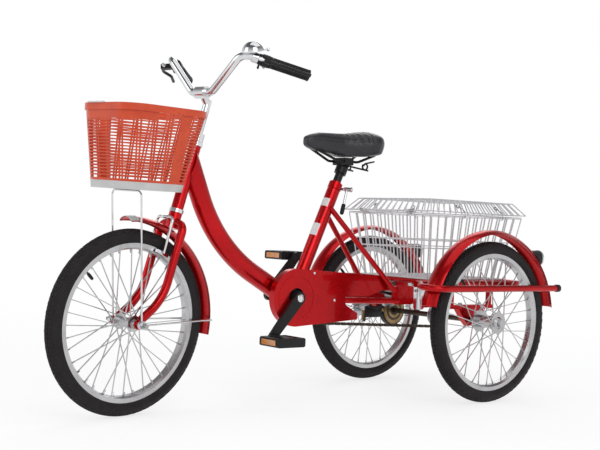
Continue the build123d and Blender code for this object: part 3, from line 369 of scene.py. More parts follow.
# %% [markdown]
# ## Building a finish
# A finish starts from one Principled shader. What is the same all over the surface is set on the
# shader's own sockets. What changes over it comes from the groups: colour between two tones by the
# mottle, roughness between two values by the grain, and a bump from the grain's height.

# %% The plan of a finish
DUST_TONE = (0.42, 0.40, 0.37)


def effect(tree, kind, **values):
    """The outputs of one of the shared effects, placed in a material with its own values."""
    return shaded(tree, "Group", values, node_tree=effects[kind]).node.outputs


def finish(name, tones, rough, grain=(400.0, 0.1), mottle=12.0, dust=0.0, depth=0.0004, **sockets):
    """A material from two tones, two roughnesses, a grain (scale, bump) and plain shader values."""
    material = bpy.data.materials.new(name)
    material.use_nodes = True
    tree = material.node_tree
    shader = tree.nodes["Principled BSDF"].inputs
    for key, value in sockets.items():
        shader[key.replace("_", " ")].default_value = value
    clouds = effect(tree, "mottle", Scale=mottle)
    grains = effect(tree, "grain", Scale=grain[0])
    colour = mixed(tree, clouds["Mask"], *tones)
    if dust:
        colour = mixed(tree, effect(tree, "dust", Amount=dust)["Mask"], colour, DUST_TONE)
    bump = shaded(tree, "Bump", {"Strength": grain[1], "Distance": depth, "Height": grains["Height"]})
    tree.links.new(colour, shader["Base Color"])
    tree.links.new(ranged(tree, grains["Mask"], *rough), shader["Roughness"])
    tree.links.new(bump, shader["Normal"])
    return material


def recoated(material, mask, tone):
    """Another tone over a finish's own colour, wherever a mask is 1."""
    tree = material.node_tree
    base = tree.nodes["Principled BSDF"].inputs["Base Color"]
    tree.links.new(mixed(tree, mask, base.links[0].from_socket, tone), base)
    return material


print("plan of a finish ready")

# %% [markdown]
# ## The finishes
# The frame's red is a candy coat: a metallic red with a clear lacquer over it, deep where it turns away
# from the light. Chrome is near mirror with faint polishing haze. The rims are a softer polished alloy.
# The baskets are an orange-red moulded plastic, glossy, and a white coated wire. Rubber and leather are
# nearly black, but never even.

# %% The finishes
HANDLED_DUST = 0.05
RED_TONES = ((0.40, 0.0015, 0.004), (0.60, 0.005, 0.009))
OILED_TONES = ((0.030, 0.023, 0.018), (0.10, 0.078, 0.060))
finishes = {
    "frame_red": finish("candy_red_lacquer", RED_TONES, (0.20, 0.32), grain=(900.0, 0.05), mottle=5.0,
                        Metallic=0.72, Coat_Weight=0.22, Coat_Roughness=0.04, Specular_IOR_Level=0.15),
    "chrome": finish("bright_chrome", ((0.60, 0.61, 0.63), (0.74, 0.75, 0.76)), (0.05, 0.13),
                     grain=(700.0, 0.03), mottle=20.0, Metallic=1.0),
    "alloy": finish("polished_alloy", ((0.42, 0.42, 0.43), (0.56, 0.56, 0.57)), (0.20, 0.34),
                    grain=(1200.0, 0.12), mottle=14.0, Metallic=1.0),
    "steel": finish("plated_steel", ((0.34, 0.34, 0.35), (0.50, 0.50, 0.51)), (0.22, 0.40),
                    grain=(800.0, 0.15), mottle=30.0, Metallic=1.0),
    "dark_steel": finish("oiled_dark_steel", OILED_TONES, (0.32, 0.55), grain=(600.0, 0.25), mottle=40.0,
                         Metallic=0.85),
    "black_metal": finish("satin_black_metal", ((0.007, 0.007, 0.008), (0.016, 0.016, 0.017)),
                          (0.26, 0.42), grain=(900.0, 0.12), mottle=18.0, Specular_IOR_Level=0.25),
    "white_wire": finish("white_coated_wire", ((0.68, 0.69, 0.71), (0.80, 0.81, 0.83)), (0.24, 0.40),
                         grain=(700.0, 0.10), mottle=25.0, Specular_IOR_Level=0.4),
    "brass": finish("brushed_brass", ((0.17, 0.105, 0.048), (0.36, 0.25, 0.13)), (0.26, 0.46),
                    grain=(900.0, 0.2), mottle=35.0, Metallic=1.0),
    "black_plastic": finish("moulded_black_plastic", ((0.007, 0.007, 0.008), (0.016, 0.016, 0.018)),
                            (0.32, 0.50), grain=(1100.0, 0.30), mottle=22.0, dust=HANDLED_DUST,
                            Specular_IOR_Level=0.25),
    "grip_rubber": finish("ribbed_grip_rubber", ((0.008, 0.008, 0.009), (0.018, 0.018, 0.019)),
                          (0.42, 0.60), grain=(900.0, 0.35), mottle=30.0, dust=HANDLED_DUST,
                          Specular_IOR_Level=0.3),
    "basket_plastic": finish("orange_red_plastic", ((0.66, 0.060, 0.018), (0.82, 0.105, 0.034)),
                             (0.22, 0.36), grain=(900.0, 0.10), mottle=16.0, Specular_IOR_Level=0.35,
                             Coat_Weight=0.1, Coat_Roughness=0.15),
    "grey_plastic": finish("whitish_grey_plastic", ((0.60, 0.60, 0.59), (0.72, 0.72, 0.71)),
                           (0.32, 0.46), grain=(900.0, 0.12), mottle=18.0),
    "red_lens": finish("clear_red_lens", ((0.34, 0.004, 0.008), (0.52, 0.012, 0.016)), (0.10, 0.22),
                       grain=(260.0, 0.6), mottle=60.0, Coat_Weight=1.0, Coat_Roughness=0.03),
}
amber = finish("amber_reflector", ((0.66, 0.20, 0.020), (0.86, 0.34, 0.045)), (0.12, 0.24),
               grain=(420.0, 0.7), mottle=60.0, Coat_Weight=1.0, Coat_Roughness=0.04)
bare_white = finish("bare_white_band", ((0.70, 0.70, 0.70), (0.80, 0.80, 0.80)), (0.28, 0.42),
                    grain=(900.0, 0.06), mottle=15.0, Coat_Weight=0.6, Coat_Roughness=0.1)
print("finishes", len(finishes) + 2)

# %% [markdown]
# ## Tyre rubber
# A tyre's flank carries fine moulded rings around the wheel. A ring is a place at one distance from the
# axle, so the bump is a wave of that distance. Each wheel has its own hub, so each tyre gets its own
# material.

# %% Tyre rubber
RING_PITCH = 3.2 * MM


def tyre_rubber(name, hub, axle):
    """Matte black rubber with fine rings around the wheel's own axle."""
    material = finish(name, ((0.010, 0.008, 0.009), (0.022, 0.018, 0.019)), (0.52, 0.76),
                      grain=(650.0, 0.35), mottle=26.0, dust=0.06, Specular_IOR_Level=0.25)
    tree = material.node_tree
    height = tree.nodes["Bump"].inputs["Height"]
    phase = shaded(tree, "Math", {0: from_axis(tree, hub, axle), 1: math.tau / RING_PITCH},
                   operation="MULTIPLY")
    wave = shaded(tree, "Math", {0: phase}, operation="SINE")
    total = shaded(tree, "Math", {0: wave, 1: height.links[0].from_socket}, operation="ADD")
    tree.links.new(total, height)
    return material


rear_way = Vector((0, 1, 0))
wheels = {
    "front": (front_hub, front_axle, "front_wheel"),
    "rear_left": (rear_hub + rear_way * TRACK_HALF * MM, rear_way, "driven_axle"),
    "rear_right": (rear_hub - rear_way * TRACK_HALF * MM, rear_way, "right_wheel"),
}
rubbers = {name: tyre_rubber(f"{name}_tyre_rubber", hub, axle) for name, (hub, axle, _) in wheels.items()}
print("tyre rubbers", list(rubbers))

# %% [markdown]
# ## Saddle leather
# The cover is black grained leather cloth. Its grain is a net of small cells, which is what Voronoi gives
# as the distance to a cell's edge. A little sheen lifts the flanks, where the real one looks blue-grey.

# %% Saddle leather
LEATHER_CELLS = 420.0
CELL_EDGE = 0.25


def saddle_leather():
    """Black leather cloth with a net of fine cells."""
    material = finish("saddle_leather", ((0.007, 0.007, 0.010), (0.022, 0.022, 0.031)), (0.24, 0.38),
                      grain=(700.0, 0.25), mottle=14.0, depth=0.0005, Specular_IOR_Level=0.5,
                      Sheen_Weight=0.06, Sheen_Roughness=0.4)
    tree = material.node_tree
    place = shaded(tree, "TexCoord", output="Object")
    cells = shaded(tree, "TexVoronoi", {"Vector": place, "Scale": LEATHER_CELLS}, "Distance",
                   feature="DISTANCE_TO_EDGE")
    edges = shaded(tree, "MapRange", {"Value": cells, "From Max": CELL_EDGE})
    tree.links.new(edges, tree.nodes["Bump"].inputs["Height"])
    return material


finishes["saddle_cover"] = saddle_leather()
print("saddle cover ready")

# %% [markdown]
# ## Finishes on the model's own pieces
# The record says which slot each node takes its finish from, so one loop dresses the metal and plastic.
# Only the material slots change: the meshes stay as they were packed.

# %% Finishes on the model's own pieces
def coated(node, coat):
    """Puts a finish on one of the model's own nodes."""
    obj = frame["nodes"][node]
    if not obj.material_slots:
        obj.data.materials.append(coat)
    for material_slot in obj.material_slots:
        material_slot.material = coat


node_slots = {part["node"]: part["material_slot"] for part in frame["record"]["subparts"]}
tyre_nodes = {"front_tyre": "front", "rear_tyre_left": "rear_left", "rear_tyre_right": "rear_right"}
for node in frame["nodes"]:
    coated(node, rubbers[tyre_nodes[node]] if node in tyre_nodes else finishes[node_slots[node]])
print("nodes dressed", len(frame["nodes"]))

# %% [markdown]
# ### Two nodes of two finishes
# The seat clamp's collar is painted with the frame, and its lever and pivot are chrome. Both are one node,
# so its material tells them apart by place: what lies near the seat tube's axis is paint. The rear axle
# is oiled between the wheels and plated outside the hubs, which the distance from the middle tells.

# %% Finishes of the seat clamp and the rear axle
COLLAR_REACH = 22 * MM
PLATED_FROM = 300 * MM


def clamp_coat():
    """Red paint on the collar and chrome beyond it."""
    material = finish("clamp_paint_and_chrome", RED_TONES, (0.18, 0.30), grain=(900.0, 0.05),
                      Specular_IOR_Level=0.3)
    tree = material.node_tree
    beyond = above(tree, from_axis(tree, point(*SEAT_TUBE_FOOT), SEAT_TUBE_WAY), COLLAR_REACH)
    tree.links.new(ranged(tree, beyond, 0.7, 1.0), tree.nodes["Principled BSDF"].inputs["Metallic"])
    return recoated(material, beyond, (0.68, 0.69, 0.70))


def axle_coat():
    """Oiled steel in the middle and plating on the ends."""
    material = finish("axle_oiled_and_plated", OILED_TONES, (0.28, 0.46), grain=(600.0, 0.2),
                      mottle=40.0, Metallic=0.9)
    tree = material.node_tree
    place = shaded(tree, "TexCoord", output="Object")
    across = shaded(tree, "SeparateXYZ", {"Vector": place}, "Y")
    width = shaded(tree, "Math", {0: across}, operation="ABSOLUTE")
    return recoated(material, above(tree, width, PLATED_FROM), (0.48, 0.48, 0.49))


coated("seat_clamp", clamp_coat())
coated("rear_axle", axle_coat())
print("clamp and axle dressed")

# %% [markdown]
# ## Studio
# The photograph has a white ground with hardly any shadow. The floor is mostly its own white to the
# camera and to reflections, and three tenths of it take light, so the shadow under the wheels stays. The
# world is white to the camera and fades a little towards the top, which gives the chrome its shape.

# %% Studio floor
PAPER = (0.80, 0.80, 0.80, 1)
SHADOWED = (0.30, 0.30, 0.30, 1)
GLOW = 0.74
WHITE = (1, 1, 1, 1)
FADE_FROM = 1.0
FADE_TO = 3.2


def seen_directly(tree):
    """A factor of 1 for camera, glossy and transmission rays."""
    rays = shaded(tree, "LightPath").node.outputs
    either = shaded(tree, "Math", {0: rays["Is Camera Ray"], 1: rays["Is Glossy Ray"]}, operation="MAXIMUM")
    return shaded(tree, "Math", {0: either, 1: rays["Is Transmission Ray"]}, operation="MAXIMUM")


def studio_white():
    """White paper floor that stays white and keeps the shadow."""
    material = bpy.data.materials.new("studio_white")
    material.use_nodes = True
    tree = material.node_tree
    tree.nodes.remove(tree.nodes["Principled BSDF"])
    place = shaded(tree, "TexCoord", output="Object")
    distance = shaded(tree, "VectorMath", {0: place}, "Value", operation="LENGTH")
    fade = shaded(tree, "MapRange", {"Value": distance, "From Min": FADE_FROM, "From Max": FADE_TO})
    shadowed = shaded(tree, "BsdfDiffuse", {"Color": SHADOWED})
    glow = shaded(tree, "Emission", {"Color": WHITE, "Strength": GLOW})
    near = shaded(tree, "AddShader", {0: shadowed, 1: glow})
    distant = shaded(tree, "Emission", {"Color": WHITE})
    ground = shaded(tree, "MixShader", {"Fac": fade, 1: near, 2: distant})
    paper = shaded(tree, "BsdfDiffuse", {"Color": PAPER})
    whole = shaded(tree, "MixShader", {"Fac": seen_directly(tree), 1: paper, 2: ground})
    tree.links.new(whole, tree.nodes["Material Output"].inputs["Surface"])
    return material


deselect()
bpy.ops.mesh.primitive_plane_add(size=40, location=(0, 0, 0))
floor = bpy.context.object
floor.name = "studio_floor"
floor.data.materials.append(studio_white())
print("floor", tuple(floor.dimensions))

# %% [markdown]
# ## Light
# Four large soft lamps and an even world. A lamp's share of white at a distance d is its power over
# ten times d squared, so fifty watts at three and a half metres adds about four tenths.

# %% Light
AMBIENT_TONE = (0.97, 0.98, 1.0, 1)
AMBIENT = 0.42
LAMPS = {  # place, target, size and power
    "key_lamp": ((1.4, 3.4, 2.6), (0.0, 0.0, 0.5), 2.6, 48),
    "side_lamp": ((3.6, -1.2, 2.2), (0.1, 0.0, 0.5), 2.2, 26),
    "back_lamp": ((-2.6, -2.6, 3.0), (0.0, 0.0, 0.5), 2.6, 34),
    "top_lamp": ((-0.2, 0.4, 3.8), (0.0, 0.0, 0.4), 3.0, 30),
}


def soft_lamp(name, place, target, size, power):
    """A square area lamp that faces a point."""
    deselect()
    bpy.ops.object.light_add(type="AREA", location=place)
    lamp = bpy.context.object
    lamp.name = name
    lamp.data.shape = "SQUARE"
    lamp.data.size = size
    lamp.data.energy = power
    lamp.rotation_euler = (Vector(target) - Vector(place)).to_track_quat("-Z", "Y").to_euler()


def studio_world():
    """An even light, seen as white by the camera and as white that fades upwards by reflections."""
    world = bpy.data.worlds.new("studio_world")
    world.use_nodes = True
    tree = world.node_tree
    ambient = tree.nodes["Background"]
    ambient.inputs["Color"].default_value = AMBIENT_TONE
    ambient.inputs["Strength"].default_value = AMBIENT
    toward = shaded(tree, "TexCoord", output="Generated")
    height = shaded(tree, "SeparateXYZ", {"Vector": toward}, "Z")
    fade = shaded(tree, "MapRange", {"Value": height, "From Min": 0.08, "From Max": 0.75,
                                     "To Min": 1.0, "To Max": 0.14})
    direct = shaded(tree, "LightPath", output="Is Camera Ray")
    white = shaded(tree, "Math", {0: fade, 1: direct}, operation="MAXIMUM")
    backdrop = shaded(tree, "Background", {"Color": white, "Strength": 1.0})
    choice = shaded(tree, "MixShader", {"Fac": seen_directly(tree), 1: ambient.outputs[0], 2: backdrop})
    tree.links.new(choice, tree.nodes["World Output"].inputs["Surface"])
    return world


for name, settings in LAMPS.items():
    soft_lamp(name, *settings)
bpy.context.scene.world = studio_world()
print("lamps", len(LAMPS))

# %% [markdown]
# ## Tyres
# Each tyre is a torus with a road tread. The blocks are the torus's own faces: those near the crown are
# inset one by one and pushed out, in a brick pattern, which leaves the grooves between them. Inside the
# rim the ring is flattened onto the rim's edge, so rubber and metal don't share space.

# %% Tyres
TYRE_MAJOR = 224 * MM
TYRE_MINOR = 22.2 * MM
TREAD_GAP = 0.9
TREAD_HEIGHT = 1.8
RIM_EDGE = 211.3 * MM
AROUND = 132
ACROSS = 28


def tread_face(face):
    """True for the faces that become tread blocks."""
    x, y, z = face.center
    ring = math.hypot(x, y)
    row = math.floor(math.atan2(z, ring - TYRE_MAJOR) / (math.tau / ACROSS))
    column = math.floor(math.atan2(y, x) / (math.tau / AROUND))
    if row in (-1, 0):
        return True
    if row in (-2, 1, -4, 3):
        return column % 2 == 0
    return row in (-3, 2) and column % 2 == 1


def tyre(name, node):
    """One treaded tyre at its wheel."""
    hub, axle, body = wheels[name]
    deselect()
    bpy.ops.mesh.primitive_torus_add(major_radius=TYRE_MAJOR, minor_radius=TYRE_MINOR,
                                     major_segments=AROUND, minor_segments=ACROSS, location=(0, 0, 0))
    obj = bpy.context.object
    obj.name = f"{name}_road_tyre"
    inset_faces(obj, tread_face, TREAD_GAP, TREAD_HEIGHT)
    for vertex in obj.data.vertices:
        ring = math.hypot(vertex.co.x, vertex.co.y)
        if ring < RIM_EDGE:
            vertex.co.x *= RIM_EDGE / ring
            vertex.co.y *= RIM_EDGE / ring
    stand(smoothed(obj, 28), hub, axle)
    return dressed(obj, "tyre", body, rubbers[name], replaces=(node,))


tyres = [tyre(name, node) for node, name in tyre_nodes.items()]
print("tyre faces", [len(obj.data.polygons) for obj in tyres])

# %% [markdown]
# ## Spoke nipples and valves
# Thirty-six plated nipples hold the spokes in each rim, each laid along its own spoke. A black valve with
# its cap stands between two of them.

# %% Spoke nipples and valves
SPOKES = 36
SPOKE_LEAD = math.radians(50)
NIPPLE_REACH = 194 * MM
NIPPLE_OFF = 2 * MM
NIPPLE_STEPS = [(2.3, 1.5), (1.9, 1), (1.7, 8)]
VALVE_STEPS = [(3.0, 12), (4.3, 0.5), (4.6, 5), (4.3, 12), (3.2, 3)]
VALVE_AT = 4.5
FLANGES = {"front": (31 * MM, 17 * MM), "rear_left": (37 * MM, 29 * MM), "rear_right": (37 * MM, 29 * MM)}


def spoke_ends(index, flange_y, flange_radius):
    """A spoke's foot on the hub and its tip at the rim, about Y at the origin."""
    side = 1 if index % 2 else -1
    lead = SPOKE_LEAD if (index // 2) % 2 else -SPOKE_LEAD
    angle = math.tau * index / SPOKES
    foot = Vector((flange_radius * math.cos(angle + lead), side * flange_y,
                   flange_radius * math.sin(angle + lead)))
    tip = Vector((NIPPLE_REACH * math.cos(angle), side * NIPPLE_OFF, NIPPLE_REACH * math.sin(angle)))
    return foot, tip


def wheel_trim(name, flange_y, flange_radius):
    """Nipples and valve of one wheel, stood on its hub."""
    hub, axle, body = wheels[name]
    turn = Matrix((axle.cross(Vector((0, 0, 1))).normalized(), axle, Vector((0, 0, 1)))).transposed()
    ends = []
    for index in range(SPOKES):
        foot, tip = spoke_ends(index, flange_y, flange_radius)
        nipple = turned(f"{name}_nipple", 2.3, NIPPLE_STEPS, segments=8)
        ends.append(stand(nipple, hub + turn @ tip, turn @ (foot - tip).normalized()))
    dressed(smoothed(joined(f"{name}_spoke_nipples", ends), 40), "steel", body)
    angle = math.tau * VALVE_AT / SPOKES
    foot = Vector((math.cos(angle), 0, math.sin(angle)))
    valve = stand(turned(f"{name}_valve", 3.0, VALVE_STEPS, segments=16),
                  hub + turn @ (foot * NIPPLE_REACH), turn @ -foot)
    dressed(smoothed(valve, 40), "black_plastic", body)


for name, flange in FLANGES.items():
    wheel_trim(name, *flange)
print("nipples", len(FLANGES) * SPOKES)

# %% [markdown]
# ## Saddle
# A saddle is foam under a stretched cover: wide and raised at the rear, narrow and rounded at the nose,
# with a skirt that hangs lowest in the middle. Its form starts as a finely divided cube whose points are
# moved onto measured lines. It is remeshed to even squares, blown up a little as cloth under pressure,
# with a cap on how far a point may go, and gets its pleats last, because a remesh would wipe them out.

# %% Saddle form
SADDLE_REAR = 263.5
SADDLE_FRONT = 538.5
# Each line is a list of a share of the way to the nose and the measure there.
HALF_WIDTHS = [(0, 40), (0.04, 68), (0.11, 92), (0.19, 99), (0.29, 92), (0.41, 66), (0.54, 43),
               (0.74, 30), (0.92, 22), (1.0, 13)]
TOP_HEIGHTS = [(0, 806), (0.06, 814), (0.16, 816), (0.30, 810), (0.45, 803), (0.62, 801), (0.82, 799),
               (0.94, 795), (1.0, 788)]
SKIRT_HEIGHTS = [(0, 757), (0.07, 748), (0.2, 745), (0.42, 741), (0.6, 745), (0.8, 751), (0.95, 755),
                 (1.0, 761)]
SHOULDER_FROM = 0.62
VOXEL = 5 * MM


def along(table, share):
    """Value of a measured line at a share of the way, straight between its points."""
    for (low, start), (high, end) in zip(table, table[1:]):
        if share <= high:
            part = (share - low) / (high - low)
            return start + (end - start) * part
    return table[-1][1]


def saddle_place(u, v, w):
    """A point of the unit cube, placed on the saddle: u to the nose, v to the left, w up."""
    share = (u + 1) / 2
    half = along(HALF_WIDTHS, share)
    top = along(TOP_HEIGHTS, share)
    skirt = along(SKIRT_HEIGHTS, share)
    rise = (w + 1) / 2
    flare = 0.86 + 0.14 * math.sin(math.pi / 2 * min(1.0, rise / SHOULDER_FROM))
    shoulder = 1 - 0.16 * max(0.0, (rise - SHOULDER_FROM) / (1 - SHOULDER_FROM)) ** 2
    crown = 0.13 * half * v * v
    y = v * half * flare * shoulder
    z = skirt + (top - crown - skirt) * rise
    x = SADDLE_REAR + (SADDLE_FRONT - SADDLE_REAR) * share
    return point(x, y, z)


def saddle_form():
    """The saddle's closed form, before it is blown up."""
    deselect()
    bpy.ops.mesh.primitive_cube_add(size=2, location=(0, 0, 0))
    obj = started("saddle_pad")
    bpy.ops.mesh.subdivide(number_cuts=31)
    bpy.ops.object.mode_set(mode="OBJECT")
    for vertex in obj.data.vertices:
        vertex.co = saddle_place(*vertex.co)
    modified(obj, "REMESH", mode="VOXEL", voxel_size=VOXEL)
    return modified(obj, "SMOOTH", factor=0.6, iterations=3)


saddle = saddle_form()
print("saddle faces", len(saddle.data.polygons))

# %% [markdown]
# ### Blown up as cloth
# Cloth with a little pressure inside rounds the pad as foam does. Gravity is off, twenty frames are
# enough, and no point may move more than the swell cap, so the saddle keeps its measures.

# %% Saddle under pressure
SWELL_CAP = 4.5 * MM
PRESSURE = 4.0
FRAMES = 20


def blown_up(obj):
    """Cloth with inner pressure, with each point's way capped, and the modifier gone at the end."""
    before = [vertex.co.copy() for vertex in obj.data.vertices]
    pick(obj)
    cloth = obj.modifiers.new("Cloth", "CLOTH")
    cloth.settings.use_pressure = True
    cloth.settings.uniform_pressure_force = PRESSURE
    cloth.settings.effector_weights.gravity = 0
    for number in range(1, FRAMES + 1):
        bpy.context.scene.frame_set(number)
    bpy.ops.object.modifier_apply(modifier=cloth.name)
    bpy.context.scene.frame_set(1)
    for vertex, start in zip(obj.data.vertices, before):
        way = vertex.co - start
        if way.length > SWELL_CAP:
            vertex.co = start + way * (SWELL_CAP / way.length)


blown_up(saddle)
modified(saddle, "SMOOTH", factor=0.5, iterations=3)
print("saddle swell capped at", SWELL_CAP)

# %% [markdown]
# ### Pleats and seam
# Five soft pleats cross the top in front of the seat, where the cover is gathered, and run out down the
# flanks. A seam goes round the saddle where the top panel meets the skirt. Both are small moves of the
# subdivided mesh's points.

# %% Pleats and seam
PLEATS = (336.0, 352.0, 368.0, 384.0, 400.0)
PLEAT_HALF = 5.0
PLEAT_DEPTH = 2.6 * MM
PLEAT_PINCH = 2.0 * MM
PLEATED_FROM = 0.5
SEAM_AT = 0.64
SEAM_HALF = 0.045
SEAM_DEPTH = 1.3 * MM


def pleated(obj):
    """Presses pleats into the top and a seam line into the flank."""
    modified(obj, "SUBSURF", levels=1, render_levels=1)
    for vertex in obj.data.vertices:
        x = (vertex.co.x - rear_hub.x) / MM
        z = vertex.co.z / MM
        share = min(1.0, max(0.0, (x - SADDLE_REAR) / (SADDLE_FRONT - SADDLE_REAR)))
        top = along(TOP_HEIGHTS, share)
        skirt = along(SKIRT_HEIGHTS, share)
        rise = (z - skirt) / (top - skirt)
        side = abs(vertex.co.y / MM) / along(HALF_WIDTHS, share)
        if rise > PLEATED_FROM:
            depth = sum(max(0.0, 1 - abs(x - pleat) / PLEAT_HALF) for pleat in PLEATS)
            depth *= min(1.0, (rise - PLEATED_FROM) / 0.25)
            vertex.co.z -= PLEAT_DEPTH * depth * max(0.0, 1 - 0.5 * side ** 2)
            vertex.co.y -= math.copysign(PLEAT_PINCH * depth * min(1.0, side), vertex.co.y)
        seam = max(0.0, 1 - abs(rise - SEAM_AT) / SEAM_HALF)
        vertex.co.y -= math.copysign(SEAM_DEPTH * seam, vertex.co.y)
    return obj


dressed(smoothed(pleated(saddle), 60), "saddle_cover", "frame", replaces=("saddle",))
print("saddle box", saddle.dimensions)

# %% [markdown]
# ## Places on the handlebar
# Grips, levers and bell sit on the bar's straight ends. A place there is a distance inward from the end,
# a distance ahead of the bar and one below it, and the other side is its mirror image.

# %% Places on the handlebar
GRIP_END = Vector((754, 254, 934))
GRIP_ROOT = Vector((910, 150, 978))
BAR_WAY = (GRIP_END - GRIP_ROOT).normalized()


def bar_frame(side):
    """Outward, ahead and down directions at a grip, on the steered pieces."""
    way = Vector((BAR_WAY.x, side * BAR_WAY.y, BAR_WAY.z))
    ahead = Vector((0.62, side * 0.78, -0.1))
    ahead = (ahead - way * ahead.dot(way)).normalized()
    return way, ahead, way.cross(ahead) * side


def on_bar(side, back, ahead=0, drop=0):
    """A place at a distance inward from the bar's end, ahead of the bar and below it."""
    way, forward, down = bar_frame(side)
    end = Vector((GRIP_END.x, side * GRIP_END.y, GRIP_END.z))
    return fork_point(*(end - way * back + forward * ahead + down * drop))


print("left bar end at", on_bar(1, 0))

# %% [markdown]
# ## Grips
# The rubber grips have ribs along them and a rounded bead at each end. A forty-eight sided sleeve is
# turned, and every second face of its middle is pressed in to leave the ribs.

# %% Grips
GRIP_STEPS = [(15.2, 1.2), (16.0, 2.4), (16.0, 3.0), (14.8, 1.6), (15.4, 2.0), (15.4, 96.0), (14.8, 2.0),
              (16.0, 1.6), (16.0, 5.0), (13.4, 1.8)]
GRIP_FACES = 48

for name, side in SIDES.items():
    grip = turned(f"{name}_ribbed_grip", 11.0, GRIP_STEPS, segments=GRIP_FACES)
    inset_faces(grip, every_second(GRIP_FACES, 11, 106), 0.25, -1.0)
    stand(smoothed(grip), on_bar(side, 0), fork_way(*-bar_frame(side)[0]))
    dressed(grip, "grip_rubber", "steering", replaces=("grips",))
print("grip faces", len(grip.data.polygons))

# %% [markdown]
# ## Blocks, coils and wires
# Small moulded and bent pieces come from three starts. A block is a cube that is resized and has its edges
# bevelled. A coil is a small ring of points carried round by the Screw modifier, with its ends filled. A
# wire is a short run of turned rods, joined where it bends.

# %% Blocks, coils and wires
def block(name, size, bevel, segments=2):
    """A block about the origin, with rounded edges."""
    deselect()
    bpy.ops.mesh.primitive_cube_add(size=1, location=(0, 0, 0))
    obj = started(name)
    bpy.ops.transform.resize(value=tuple(value * MM for value in size))
    bpy.ops.mesh.bevel(offset=bevel * MM, segments=segments, affect="EDGES")
    bpy.ops.object.mode_set(mode="OBJECT")
    return obj


def coil(name, radius, thickness, turns, pitch, steps=20):
    """A round-wire coil about Z, upwards from the origin; the thickness is the wire's radius."""
    deselect()
    bpy.ops.mesh.primitive_circle_add(vertices=8, radius=thickness * MM, fill_type="NOTHING",
                                      location=(radius * MM, 0, 0), rotation=(math.pi / 2, 0, 0))
    obj = bpy.context.object
    obj.name = name
    bpy.ops.object.transform_apply(location=True, rotation=True, scale=True)
    modified(obj, "SCREW", angle=math.tau * turns, screw_offset=pitch * turns * MM,
             steps=round(steps * turns), render_steps=round(steps * turns), use_merge_vertices=False)
    pick(obj)
    bpy.ops.object.mode_set(mode="EDIT")
    bpy.ops.mesh.select_all(action="SELECT")
    bpy.ops.mesh.fill_holes(sides=8)
    return smoothed(outward(obj), 50)


def wire(name, places, radius):
    """Round wire through several points of the frame, each run a turned rod."""
    runs = []
    for start, end in zip(places, places[1:]):
        way = end - start
        tip = radius * 0.6
        cap = radius * 0.4
        steps = [(radius, cap), (radius, way.length / MM - 2 * cap), (tip, cap)]
        runs.append(stand(turned(name, tip, steps, segments=10), start, way))
    return smoothed(joined(name, runs), 50)


print("starts of small pieces ready")

# %% [markdown]
# ## Pedal reflectors
# Each pedal carries an amber reflector on its front and rear face. The lens is a bevelled block whose
# outer face is inset and pressed in, so that it has an edge to catch the light.

# %% Pedal reflectors
CRANK_REACH = Vector((98.5, 0, -116.4))
PEDAL_OUT = 125.5
LENS_AHEAD = 49.2

for name, side in SIDES.items():
    for end, face in (("front", 1), ("rear", -1)):
        lens = block(f"{name}_{end}_reflector", (4.0, 62.0, 15.0), 1.0)
        inset_faces(lens, lambda item: item.normal.x * face > 0.9, 1.6, -0.8, each=False)
        middle = BRACKET + CRANK_REACH * side
        moved(lens, point(middle.x + face * LENS_AHEAD, side * PEDAL_OUT, middle.z))
        dressed(smoothed(lens), "red_lens", f"{name}_pedal", amber)
print("reflectors", 4)

# %% [markdown]
# ## Screws, bolts and caps
# A hexagon head is a six-sided turned piece with a washer under it, and a round screw head has a crown.
# They sit on the chain guard, the cranks, the carrier's hanger plates and the frame's latches.

# %% Screws, bolts and caps
GUARD_SCREWS = ((446, 303), (527.5, 383.5))
CRANK_CAP = [(11.5, 1.2), (9.5, 1.2), (4.0, 0.8)]
LATCH_NUTS = ((86, 292), (118, 330))
CROWN = [(1.0, 0.4), (0.86, 0.35), (0.5, 0.25), (0.42, -0.5)]


def hexagon(name, radius, height):
    """A hexagon head on a washer, about Z."""
    washer = turned(name, radius * 1.35, [(radius * 1.35, 1.0)], segments=24)
    head = turned(name, radius, [(radius, height - 0.6), (radius * 0.86, 0.6)], segments=6)
    moved(head, (0, 0, 1.0 * MM))
    return smoothed(joined(name, [washer, head]), 25)


def round_head(name, radius, height):
    """A crowned screw head about Z, with a sunk middle for the driver."""
    steps = [(radius * share, height * rise) for share, rise in CROWN]
    return smoothed(turned(name, radius, steps, segments=20), 35)


for index, (x, z) in enumerate(GUARD_SCREWS):
    screw = round_head(f"guard_screw_{index}", 4.2, 2.4)
    dressed(stand(screw, point(x, 59.4, z), (0, 1, 0)), "chrome", "frame")
for name, side in SIDES.items():
    cap = smoothed(turned(f"{name}_crank_cap", 11.5, CRANK_CAP, segments=32))
    dressed(stand(cap, point(BRACKET.x, side * 77.4, BRACKET.z), (0, side, 0)), "chrome", "cranks")
    for index, x in enumerate((-45, 45)):
        bolt = hexagon(f"{name}_hanger_bolt_{index}", 6.0, 5.0)
        dressed(stand(bolt, point(x, side * 195, 295.0), (0, 0, 1)), "steel", "frame")
    for index, (x, z) in enumerate(LATCH_NUTS):
        nut = hexagon(f"{name}_latch_nut_{index}", 4.0, 3.6)
        dressed(stand(nut, point(x, side * 72.0, z), (0, side, 0)), "steel", "frame")
print("fasteners", len(GUARD_SCREWS) + 2 * (1 + 2 + len(LATCH_NUTS)))

# %% [markdown]
# ## Bell and lever details
# Each brake lever has a knurled adjuster on its perch, and beside its clamp is a black collar with an eye
# under the bar. The bell has a thumb lever with a round end under its dome.

